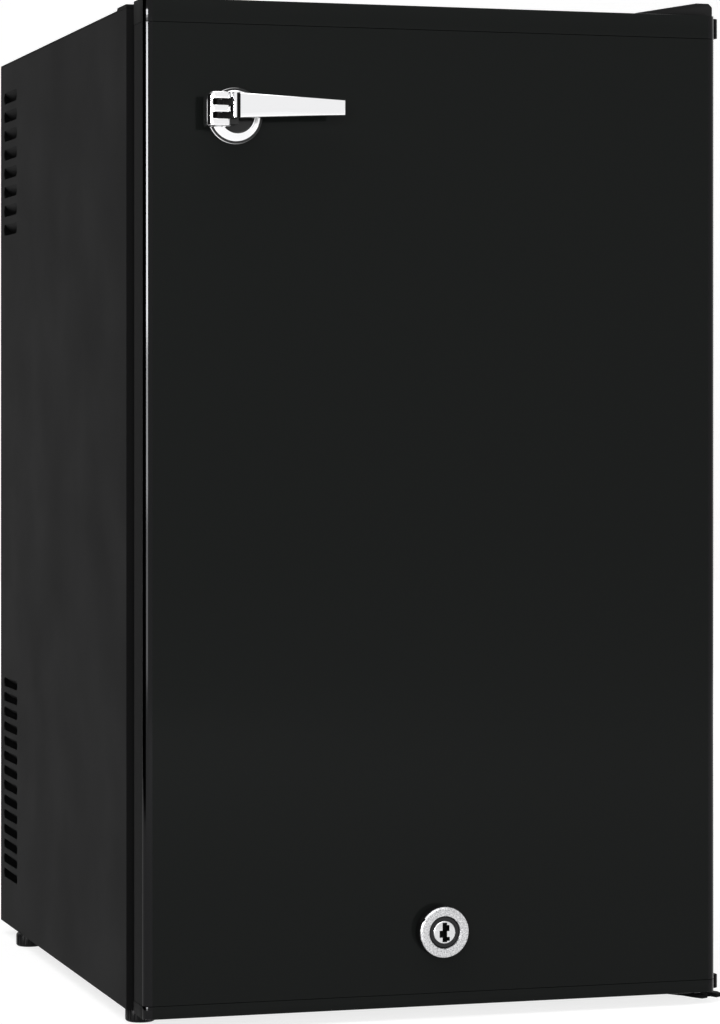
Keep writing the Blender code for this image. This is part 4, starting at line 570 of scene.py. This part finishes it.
def finished(piece, finish, node=None, body=None, smooth=35.0):
    """Leave edit mode, point faces outwards, add the finish and mount it."""
    if piece.mode == "EDIT":
        bpy.ops.mesh.select_all(action="SELECT")
        bpy.ops.mesh.remove_doubles(threshold=0.000002)
        bpy.ops.mesh.normals_make_consistent(inside=False)
        bpy.ops.object.mode_set(mode="OBJECT")
    bpy.ops.object.select_all(action="DESELECT")
    piece.select_set(True)
    bpy.context.view_layer.objects.active = piece
    for modifier in list(piece.modifiers):
        bpy.ops.object.modifier_apply(modifier=modifier.name)
    bpy.ops.object.shade_smooth_by_angle(angle=math.radians(smooth))
    piece.data.materials.clear()
    piece.data.materials.append(finish)
    if node:
        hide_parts(node)
    if body:
        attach(piece, body)
    print("piece:", piece.name, len(piece.data.polygons), "faces")
    return piece


def turned(name, profile, centre, axis, steps=48):
    """Spin a profile of (radius, height) points round an axis through a point."""
    across = Vector((1.0, 0.0, 0.0)) if axis != "X" else Vector((0.0, 0.0, 1.0))
    along = {"X": Vector((1, 0, 0)), "Y": Vector((0, 1, 0)), "Z": Vector((0, 0, 1))}[axis]
    centre = Vector(centre)
    points = [centre + across * radius + along * height for radius, height in profile]
    piece = begin(name, bpy.ops.mesh.primitive_plane_add, size=0.001, location=points[0])
    bpy.ops.mesh.select_mode(type="VERT")
    bpy.ops.mesh.select_all(action="SELECT")
    bpy.ops.mesh.merge(type="CENTER")
    for before, after in zip(points, points[1:]):
        bpy.ops.mesh.extrude_vertices_move(
            TRANSFORM_OT_translate={"value": after - before})
    bpy.ops.mesh.select_all(action="SELECT")
    bpy.ops.mesh.spin(steps=steps, angle=math.tau, center=centre, axis=along)
    bpy.ops.mesh.select_all(action="SELECT")
    bpy.ops.mesh.remove_doubles(threshold=weld_reach)
    return piece


def paint_faces(piece, finish, test):
    """Give the faces that pass a test a second finish."""
    piece.data.materials.append(finish)
    slot = len(piece.data.materials) - 1
    count = 0
    for face in piece.data.polygons:
        if test(face.center, face.normal):
            face.material_index = slot
            count += 1
    print("painted:", piece.name, count, "faces")


def combine(piece, other, operation):
    """Join a second solid to a piece, or cut it out, with an exact Boolean."""
    for item in (piece, other):
        if item.mode == "EDIT":
            bpy.context.view_layer.objects.active = item
            bpy.ops.mesh.select_all(action="SELECT")
            bpy.ops.mesh.normals_make_consistent(inside=False)
            bpy.ops.object.mode_set(mode="OBJECT")
    bpy.ops.object.select_all(action="DESELECT")
    piece.select_set(True)
    bpy.context.view_layer.objects.active = piece
    tool = piece.modifiers.new("tool", "BOOLEAN")
    tool.operation = operation
    tool.solver = "EXACT"
    tool.object = other
    bpy.ops.object.modifier_apply(modifier=tool.name)
    bpy.data.objects.remove(other, do_unlink=True)


# %% [markdown]
# ## Door handle
# A round boss sits on the door. It is black inside a chrome rim, with one
# polished chamfer that mirrors the floor. The knuckle in front of it is a cast
# block with two windows. The tapered lever hangs in it on a pin.

# %% Where the handle's parts meet
boss_x, boss_z = -0.138, 0.591
pivot = Vector((-0.1534, flange_y - 0.0587, 0.596))
knuckle_front = flange_y - 0.066
knuckle_low, knuckle_high = 0.5826, 0.6044
bore_radius, bore_reach = 0.0024, 0.02
jet_plastic = new_finish("jet_plastic", (0.0060, 0.0060, 0.0062), 0.16, 0.0, 0.35)
shimmer(jet_plastic, noise(jet_plastic, 50.0), 0.12, 0.22)
shadow_black = new_finish("shadow_black", (0.004, 0.004, 0.004), 0.6, 0.0, 0.1)
shimmer(shadow_black, noise(shadow_black, 80.0), 0.5, 0.7)
print("pivot at", tuple(round(c, 4) for c in pivot))

# %% Boss with its chamfer
boss = turned("door_handle_boss", [
    (0.0, -0.0003), (0.0180, -0.0003), (0.0183, -0.0008), (0.0183, -0.0026), (0.0179, -0.0031),
    (0.0168, -0.0033), (0.0164, -0.0037), (0.0156, -0.0040), (0.0152, -0.0042),
    (0.0122, -0.0080), (0.0117, -0.0083), (0.0113, -0.0082), (0.0109, -0.0079), (0.0, -0.0079)],
    (boss_x, door_front, boss_z), "Y", 64)
finished(boss, jet_plastic, smooth=28.0, body="door")


def boss_radius(centre):
    """Distance of a point from the boss's axis."""
    return math.hypot(centre.x - boss_x, centre.z - boss_z)


# The polished chamfer and the thin bright line at the foot of the rim.
for inner, outer, tilt in ((0.0113, 0.0162, -0.2), (0.01745, 0.0182, -0.3)):
    paint_faces(boss, chrome_plate, lambda c, n: inner < boss_radius(c) < outer and n.y < tilt)

# %% [markdown]
# The knuckle starts as a block, because its faces are flat. Slices give it a
# sloping upper left corner, three facets down its left and two at its right
# front edge, round which the lever's root swings. Its edges are rounded, and
# two smaller blocks cut its windows. The neck behind joins it to the boss.

# %% Knuckle
knuckle = block("door_handle_knuckle", (-0.1622, knuckle_front, knuckle_low),
                (-0.1463, pivot.y + 0.0074, knuckle_high))
slice_off((-0.1588, knuckle_front, knuckle_high), Vector((-0.62, -0.15, 0.78)))
for lean, away in ((0.92, -0.39), (0.62, -0.78), (0.25, -0.97)):
    reach = Vector((-lean, away, 0.0))
    slice_off(Vector((-0.1552, knuckle_front + 0.0072, 0.0)) + reach * 0.0071, reach)
swing_clear = 0.0076
for angle in (30, 60):
    towards = Vector((math.cos(math.radians(angle)), -math.sin(math.radians(angle)), 0.0))
    slice_off(pivot + towards * swing_clear, towards)
round_edges(0.0006, 3)
rib = 0.0044
window = (knuckle_high - knuckle_low - 3 * rib) / 2
window_floors = (knuckle_low + rib, knuckle_low + 2 * rib + window)
for level in window_floors:
    hole = block("window_tool", (-0.1592, knuckle_front - 0.004, level),
                 (-0.1400, pivot.y + 0.0064, level + window))
    round_edges(0.0008, 2, lambda c, way: abs(way.y) > 0.9)
    combine(knuckle, hole, "DIFFERENCE")


def bore_for_pin(piece):
    """Cut the pin's hole through a piece along the pivot line."""
    bore = turned("bore_tool", [(0.0, -bore_reach), (bore_radius, -bore_reach),
                                (bore_radius, bore_reach), (0.0, bore_reach)], pivot, "Z", 24)
    combine(piece, bore, "DIFFERENCE")


bore_for_pin(knuckle)
soften(knuckle, 0.00025, 45)
neck = block("door_handle_neck", (-0.1545, pivot.y + 0.0060, knuckle_low + 0.002),
             (-0.1390, door_front - 0.0030, knuckle_high - 0.002))
combine(knuckle, neck, "UNION")
finished(knuckle, chrome_plate, node="handle_base", body="door")


def in_window(c, n):
    """Whether a face lies in the depth of one of the knuckle's windows."""
    inside = -0.1593 < c.x and c.y > knuckle_front + 0.0016
    back_or_flank = n.y < -0.5 and c.y > knuckle_front + 0.006 or abs(n.z) > 0.5
    return inside and back_or_flank and any(
        level - 0.0004 < c.z < level + window + 0.0004 for level in window_floors)


paint_faces(knuckle, shadow_black, in_window)
paint_faces(knuckle, jet_plastic, lambda c, n: c.y > pivot.y + 0.0058)

# %% [markdown]
# The lever is a block drawn in at its tip by two slanting cuts and hollowed
# from behind, as a zinc casting is. A cross groove separates its short root
# from the long tapered face. Two arms with eyes reach through the windows to the
# pin, so the lever is one solid that really turns there.

# %% Lever
root_x, tip_x = -0.1456, -0.0708
lever_front = flange_y - 0.0657
half_root, half_tip = 0.0083, 0.0048
facet_x, wall = -0.1050, 0.0014
groove_left, groove_right = -0.1436, -0.1412
eye_radius, eye_gap = 0.0039, 0.0004
slope = (half_root - half_tip) / (tip_x - root_x)


def tapered_block(name, inset, front, rear):
    """A block as long as the lever, drawn in towards the tip above and below."""
    made = block(name, (root_x + inset, front, pivot.z - half_root),
                 (tip_x - inset, rear, pivot.z + half_root))
    for side in (1.0, -1.0):
        slice_off((root_x, 0.0, pivot.z + side * (half_root - inset)),
                  Vector((slope, 0.0, side)).normalized())
    return made


lever = tapered_block("door_handle_lever", 0.0, lever_front, lever_front + 0.0058)
slice_off((facet_x, lever_front, 0.0), Vector((0.035, -1.0, 0.0)).normalized())
round_edges(0.0009, 3, lambda c, way: c.y < lever_front + 0.004 and abs(way.y) < 0.5
            and abs(c.x - facet_x) > 0.002)
hollow = tapered_block("hollow_tool", wall, lever_front + 0.0024, lever_front + 0.0090)
combine(lever, hollow, "DIFFERENCE")
groove = block("groove_tool", (groove_left, lever_front - 0.002, 0.580),
               (groove_right, lever_front + 0.0016, 0.612))
combine(lever, groove, "DIFFERENCE")
for level in window_floors:
    low, high = level + eye_gap, level + window - eye_gap
    arm = block("arm_tool", (pivot.x - 0.001, pivot.y - 0.0032, low),
                (root_x + 0.0030, pivot.y + 0.0012, high))
    combine(lever, arm, "UNION")
    eye_ring = turned("eye_tool", [(0.0, low), (eye_radius, low), (eye_radius, high), (0.0, high)],
                      (pivot.x, pivot.y, 0.0), "Z", 32)
    combine(lever, eye_ring, "UNION")
bore_for_pin(lever)
soften(lever, 0.00015, 60)
finished(lever, chrome_plate, node="handle_lever", body="lever")
paint_faces(lever, shadow_black, lambda c, n: groove_left - 0.0001 < c.x < groove_right + 0.0001
            and lever_front + 0.0004 < c.y < lever_front + 0.003)
paint_faces(lever, shadow_black, lambda c, n: c.x < root_x - 0.0004)

# %% [markdown]
# ## Lock
# A thick cast ring with a speckled plating carries a turning core. A ring is
# spun from its section, which keeps every edge as round as the real casting's.
# A small round tool bites the notch in its upper left.

# %% Lock ring
lock_x, lock_z = 0.002, 0.058
depth, ring_bore = 0.0113, 0.0102
lock_front = door_front - 0.0003 - depth
ring_speckle = new_finish("ring_speckle", (0.62, 0.62, 0.63), 0.25, 1.0)
relief(ring_speckle, noise(ring_speckle, 900.0, 3.0), 0.00012, 0.8)
shimmer(ring_speckle, noise(ring_speckle, 700.0), 0.15, 0.45)
tint(ring_speckle, noise(ring_speckle, 1100.0, 2.0), (0.30, 0.30, 0.31), (0.82, 0.82, 0.83))
ring = turned("lock_ring", [
    (ring_bore, -0.0003), (0.0166, -0.0003), (0.0168, -0.0005), (0.0168, -depth + 0.0022),
    (0.0165, -depth + 0.0008), (0.0156, -depth + 0.0001), (0.0148, -depth - 0.0002),
    (0.0118, -depth - 0.0002), (0.0108, -depth + 0.0002), (0.0103, -depth + 0.0010),
    (ring_bore, -depth + 0.0022), (ring_bore, -0.0003)],
    (lock_x, door_front, lock_z), "Y", 72)
notch = turned("notch_tool", [(0.0, -0.002), (0.0024, -0.002), (0.0024, 0.0060), (0.0, 0.0060)],
               (lock_x - 0.0158, door_front - depth, lock_z + 0.0094), "Y", 24)
combine(ring, notch, "DIFFERENCE")
finished(ring, jet_plastic, node="lock_escutcheon", body="door", smooth=30.0)


def lock_radius(centre):
    """Distance of a point from the lock's axis."""
    return math.hypot(centre.x - lock_x, centre.z - lock_z)


paint_faces(ring, ring_speckle, lambda c, n: c.y < door_front - depth + 0.0016
            and lock_radius(c) > ring_bore)

# %% [markdown]
# The core is spun too, with a thin shaft behind it for the cam. Its keyway is
# stepped, so four overlapping blocks cut it, each one a step of the key.

# %% Lock core with its keyway
core_face = (lock_x, lock_front + 0.0009, lock_z)
core = turned("lock_cylinder", [
    (0.0, 0.0), (0.0068, 0.0), (0.0072, 0.0002), (0.0075, 0.0006), (0.0075, 0.0200),
    (0.0070, 0.0205), (0.0, 0.0205)], core_face, "Y", 56)
shaft = turned("shaft_tool", [(0.0, 0.019), (0.0030, 0.019), (0.0030, 0.0552), (0.0028, 0.0554),
                              (0.0, 0.0554)], core_face, "Y", 32)
combine(core, shaft, "UNION")
for low_u, low_v, high_u, high_v in (
        (-0.0016, -0.0064, 0.0016, 0.0064), (0.0006, -0.0056, 0.0034, -0.0030),
        (-0.0036, -0.0034, 0.0006, 0.0012), (-0.0006, 0.0008, 0.0032, 0.0048)):
    cut = block("keyway_tool", (lock_x + low_u, lock_front - 0.002, lock_z + low_v),
                (lock_x + high_u, lock_front + 0.0070, lock_z + high_v))
    combine(core, cut, "DIFFERENCE")
soften(core, 0.00012, 50)
finished(core, lock_nickel, node="lock_core", body="lock")
paint_faces(core, shadow_black, lambda c, n: lock_front + 0.0014 < c.y < lock_front + 0.0075
            and lock_radius(c) < 0.0071)

# %% [markdown]
# ## Cooling unit
# The unit on the back is steel tube, brazed together in short collars. A
# collar is a profile of a few points spun round the pipe, sized by its radius.

# %% Collars where pipes meet
unit_y = 0.2125
boiler_x, coil_entry_z, tank_x, tank_z = 0.130, 0.440, -0.050, 0.088
thin_pipe, thick_pipe = 0.0060, 0.0078


def pipe_collar(name, radius, reach, centre, axis):
    """A swaged collar with a braze fillet at each end."""
    inside, outside = radius * 0.6, radius + 0.0015
    made = turned(name, [
        (inside, -reach), (radius + 0.0002, -reach), (radius + 0.0009, -reach + 0.0008),
        (outside, -reach + 0.0018), (outside, reach - 0.0018), (radius + 0.0009, reach - 0.0008),
        (radius + 0.0002, reach), (inside, reach), (inside, -reach)],
        centre, axis, 28)
    finished(made, pipe_black, body="cabinet", smooth=50.0)


pipe_collar("collar_cold_pipe", thin_pipe, 0.0110, (-0.1055, unit_y, coil_entry_z), "X")
pipe_collar("collar_tank_inlet", thin_pipe, 0.0050, (-0.0890, unit_y, 0.1170), "Z")
pipe_collar("collar_tank_outlet", thick_pipe, 0.0050, (0.0585, unit_y, tank_z), "X")
pipe_collar("collar_boiler_low", thick_pipe, 0.0040, (boiler_x, unit_y, 0.1362), "Z")
pipe_collar("collar_boiler_high", thin_pipe, 0.0040, (boiler_x, unit_y, 0.4736), "Z")

# %% [markdown]
# The boiler's jacket is rolled sheet with pairs of swaged grooves and dished
# ends. All of that is in its profile, so spinning it gives the whole jacket.

# %% Boiler jacket
groove_depth, groove_half = 0.0014, 0.0018


def grooved_side(radius, levels, low, high):
    """Profile points of an upright wall with rounded grooves at some levels."""
    points = [(radius, low)]
    slope = radius - groove_depth * 0.7
    for level in levels:
        points += [(radius, level - groove_half), (slope, level - 0.0009),
                   (radius - groove_depth, level), (slope, level + 0.0009),
                   (radius, level + groove_half)]
    return points + [(radius, high)]


jacket = turned("boiler_casing", [
    (0.0, 0.0012), (0.0190, 0.0012), (0.0212, 0.0020), (0.0226, 0.0), (0.0262, 0.0),
    (0.0282, 0.0012)] + grooved_side(0.0290, (0.014, 0.024, 0.160, 0.170, 0.306, 0.316),
                                     0.0034, 0.3266) + [
    (0.0282, 0.3288), (0.0262, 0.3300), (0.0226, 0.3300), (0.0212, 0.3280), (0.0190, 0.3288),
    (0.0, 0.3288)], (boiler_x, unit_y, 0.140), "Z", 56)
finished(jacket, zinc_plate, node="boiler_jacket", body="cabinet", smooth=32.0)

# %% [markdown]
# The tank is a drawn tube closed by two welded ends, with a bead at each weld.
# The filling stub on its left end is spun, and then its tip is drawn out and
# pressed flat, as it is pinched shut on the real unit.

# %% Tank with weld beads and filling stub
half, bead = 0.105, 0.0260
tank_wall, bead_slope = 0.0253, 0.0258
tank = turned("absorber_vessel", [
    (0.0, -half), (0.0120, -half + 0.0006), (0.0200, -half + 0.0030), (0.0245, -half + 0.0080),
    (tank_wall, -half + 0.0120), (tank_wall, -half + 0.0160), (bead_slope, -half + 0.0168),
    (bead, -half + 0.0180), (bead_slope, -half + 0.0192), (tank_wall, -half + 0.0200),
    (tank_wall, half - 0.0200), (bead_slope, half - 0.0192), (bead, half - 0.0180),
    (bead_slope, half - 0.0168), (tank_wall, half - 0.0160), (tank_wall, half - 0.0120),
    (0.0245, half - 0.0080), (0.0200, half - 0.0030), (0.0120, half - 0.0006), (0.0, half)],
    (tank_x, unit_y, tank_z), "X", 48)
finished(tank, pipe_black, node="absorber_tank", body="cabinet", smooth=40.0)
stub = turned("filling_stub", [
    (0.0, 0.0010), (0.0046, 0.0010), (0.0050, -0.0006), (0.0034, -0.0016), (0.0032, -0.0080),
    (0.0030, -0.0084), (0.0, -0.0084)], (tank_x - half, unit_y, tank_z), "X", 24)
pick(lambda c, n: n.x < -0.9 and c.x < tank_x - half - 0.0078)
bpy.ops.mesh.extrude_region_move(TRANSFORM_OT_translate={"value": (-0.0030, 0.0, 0.0)})
bpy.ops.transform.resize(value=(1.0, 0.30, 1.15))
finished(stub, pipe_black, body="cabinet", smooth=50.0)

# %% [markdown]
# ## Screws
# One pan-head screw is modelled: a domed head, spun, with a cross recess cut by
# two small blocks. Every other screw is a copy with its own mesh.

# %% Screw and its copies
screw = turned("screw_pattern", [
    (0.0, 0.0), (0.0033, 0.0), (0.0034, 0.0004), (0.0032, 0.0010), (0.0026, 0.0015),
    (0.0017, 0.0018), (0.0, 0.0019)], (0.0, 0.0, 0.0), "Y", 28)
for wide, tall in ((0.0003, 0.0016), (0.0016, 0.0003)):
    recess = block("recess_tool", (-wide, 0.0008, -tall), (wide, 0.0030, tall))
    combine(screw, recess, "DIFFERENCE")
screw_steel = new_finish("screw_steel", (0.46, 0.46, 0.47), 0.34, 1.0)
shimmer(screw_steel, noise(screw_steel, 600.0), 0.26, 0.42)
finished(screw, screw_steel, smooth=32.0)


def screw_at(name, place, facing=(0.0, 1.0, 0.0)):
    """A copy of the screw on the cabinet, its head's top facing one way."""
    made = bpy.data.objects.new(name, screw.data.copy())
    bpy.context.scene.collection.objects.link(made)
    turn_to = Vector((0.0, 1.0, 0.0)).rotation_difference(Vector(facing)).to_matrix().to_4x4()
    made.data.transform(Matrix.Translation(Vector(place)) @ turn_to)
    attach(made, "cabinet")


strap_face = 0.1758
for row, level in (("lower", 0.214), ("upper", 0.3955)):
    for hand, x in (("inner", 0.0790), ("outer", 0.1810)):
        screw_at("strap_screw_%s_%s" % (row, hand), (x, strap_face, level))
for hand, x in (("left", -0.0650), ("right", 0.0650)):
    screw_at("housing_screw_" + hand, (x, 0.0180, 0.5898), (0.0, 0.0, -1.0))
for hand, x in (("left", -0.0120), ("right", 0.0160)):
    screw_at("strike_screw_" + hand, (x, -0.1640, 0.0500), (0.0, 0.0, 1.0))

# %% [markdown]
# The electrical box is closed by a lid. Its corners are rounded, two insets
# sink its face inside a narrow rim, and a round tool clears the cable inlet.

# %% Lid of the electrical box
lid_low, lid_high = Vector((0.0978, 0.2166, 0.0145)), Vector((0.1622, 0.2184, 0.0709))
lid = block("electrical_lid", lid_low, lid_high)
round_edges(0.0030, 3, lambda c, way: abs(way.y) > 0.9)
pick(lambda c, n: n.y > 0.9)
bpy.ops.mesh.inset(thickness=0.0016, depth=0.0)
bpy.ops.mesh.inset(thickness=0.0008, depth=-0.0007)
mouth = turned("gland_tool", [(0.0, -0.01), (0.0099, -0.01), (0.0099, 0.01), (0.0, 0.01)],
               (0.130, 0.2169, 0.0324), "Y", 32)
combine(lid, mouth, "DIFFERENCE")
finished(lid, black_moulding, body="cabinet", smooth=32.0)
for side, x in (("left", 0.1045), ("right", 0.1555)):
    for row, z in (("low", 0.0210), ("high", 0.0640)):
        screw_at("lid_screw_%s_%s" % (side, row), (x, 0.2176, z))
bpy.data.objects.remove(screw, do_unlink=True)

# %% [markdown]
# ## Thermostat dial
# The knob is a cylinder. Every second face of its side is pushed in for grip,
# and its face is let in inside a narrow rim. Picking faces by their number
# round the axis is quicker than modelling 28 grooves one by one.

# %% Dial
dial_x, dial_z = -0.045, 0.60856
dial_front, dial_rear, dial_sides = -0.0427, -0.0319, 56
bar_front, bar_half = -0.0481, 0.0017
dial = begin("dial_knob", bpy.ops.mesh.primitive_cylinder_add, vertices=dial_sides, radius=0.0115,
             depth=dial_rear - dial_front, location=(dial_x, (dial_front + dial_rear) / 2, dial_z),
             rotation=(math.radians(90), 0.0, 0.0))


def ray_index(c):
    """Which of the side faces this is, counted round the axis."""
    return round((math.atan2(c.z - dial_z, c.x - dial_x) / math.tau) * dial_sides - 0.5)


pick(lambda c, n: abs(n.y) < 0.2 and ray_index(c) % 2 == 0)
bpy.ops.mesh.inset(thickness=0.00022, depth=-0.0005, use_individual=True)
pick(lambda c, n: n.y < -0.9)
bpy.ops.mesh.inset(thickness=0.0012, depth=0.0)
bpy.ops.mesh.inset(thickness=0.0006, depth=-0.0006)
finished(dial, white_moulding, node="thermostat_dial", body="dial")

# %% [markdown]
# The bar to turn the dial by narrows towards its front, where a thin pointer is
# printed. The spindle behind goes into the housing. They ride on the dial.

# %% Bar, spindle and pointer
grip = block("dial_bar", (dial_x - bar_half, bar_front, dial_z - 0.0100),
             (dial_x + bar_half, dial_front + 0.0010, dial_z + 0.0100))
pick(lambda c, n: n.y < -0.9)
bpy.ops.transform.resize(value=(0.70, 1.0, 0.94))
round_edges(0.0006, 3)
finished(grip, white_moulding, body="dial")
spindle = turned("dial_spindle", [(0.0, 0.0), (0.0055, 0.0), (0.0057, 0.0002), (0.0057, 0.0054),
                                  (0.0055, 0.0056), (0.0, 0.0056)],
                 (dial_x, dial_rear - 0.0002, dial_z), "Y", 28)
finished(spindle, white_moulding, body="dial")
mark_grey = new_finish("mark_grey", (0.16, 0.16, 0.17), 0.5)
shimmer(mark_grey, noise(mark_grey, 300.0), 0.45, 0.6)
pointer = block("dial_pointer", (dial_x - 0.0004, bar_front - 0.0002, dial_z + 0.0040),
                (dial_x + 0.0004, bar_front + 0.0003, dial_z + 0.0090))
round_edges(0.0001, 2)
finished(pointer, mark_grey, body="dial")

# %% [markdown]
# The numbers are text, made a mesh and moved to their places round the dial.
# They run against the clock, because the dial turns with it.

# %% Numbers on the dial
for figure, angle in (("1", 45), ("2", 90), ("3", 135), ("4", 225), ("5", 270)):
    bpy.ops.object.select_all(action="DESELECT")
    bpy.ops.object.text_add(rotation=(math.radians(90), 0.0, 0.0))
    number = bpy.context.object
    number.name = "dial_number_" + figure
    number.data.body = figure
    number.data.size = 0.0034
    number.data.extrude = 0.00012
    number.data.align_x = "CENTER"
    number.data.align_y = "CENTER"
    bpy.ops.object.convert(target="MESH")
    number = bpy.context.object
    outwards = Matrix.Translation((0.0, 0.0, 0.0070))
    around = Matrix.Rotation(math.radians(-angle), 4, "Y")
    onto_dial = Matrix.Translation((dial_x, dial_front + 0.00055, dial_z))
    bpy.ops.object.transform_apply(location=True, rotation=True, scale=True)
    number.data.transform(onto_dial @ around @ outwards)
    finished(number, mark_grey, body="dial", smooth=20.0)

# %% [markdown]
# ## Screw feet
# A levelling foot is a ribbed disc, screwed in almost to its seat, as in the
# photograph. Alternate faces of the disc are pressed in for grip. The four feet
# share one profile and differ only in height, so one loop makes them.

# %% Feet
# Each foot's place on the floor and the height of its seat.
foot_sides = 40
foot_seat = {
    "foot_front_left": (-0.189, -0.1705, 0.0103), "foot_front_right": (0.189, -0.162, 0.0075),
    "foot_rear_left": (-0.1935, 0.1735, 0.0103), "foot_rear_right": (0.1935, 0.1735, 0.0103),
}
for foot_name, (x, y, rest) in foot_seat.items():
    head = rest - 0.0006
    foot = turned(foot_name.replace("foot", "levelling_foot"), [
        (0.0, 0.0), (0.0086, 0.0), (0.0096, 0.0006), (0.0100, 0.0014), (0.0100, head - 0.0012),
        (0.0096, head - 0.0004), (0.0088, head), (0.0048, head), (0.0044, rest), (0.0, rest)],
        (x, y, 0.0), "Z", foot_sides)
    pick(lambda c, n: abs(n.z) < 0.2 and math.hypot(c.x - x, c.y - y) > 0.0095
         and round(math.atan2(c.y - y, c.x - x) / math.tau * foot_sides - 0.5) % 2 == 0)
    bpy.ops.mesh.inset(thickness=0.0002, depth=-0.0005, use_individual=True)
    finished(foot, black_moulding, node=foot_name, body="cabinet", smooth=30.0)
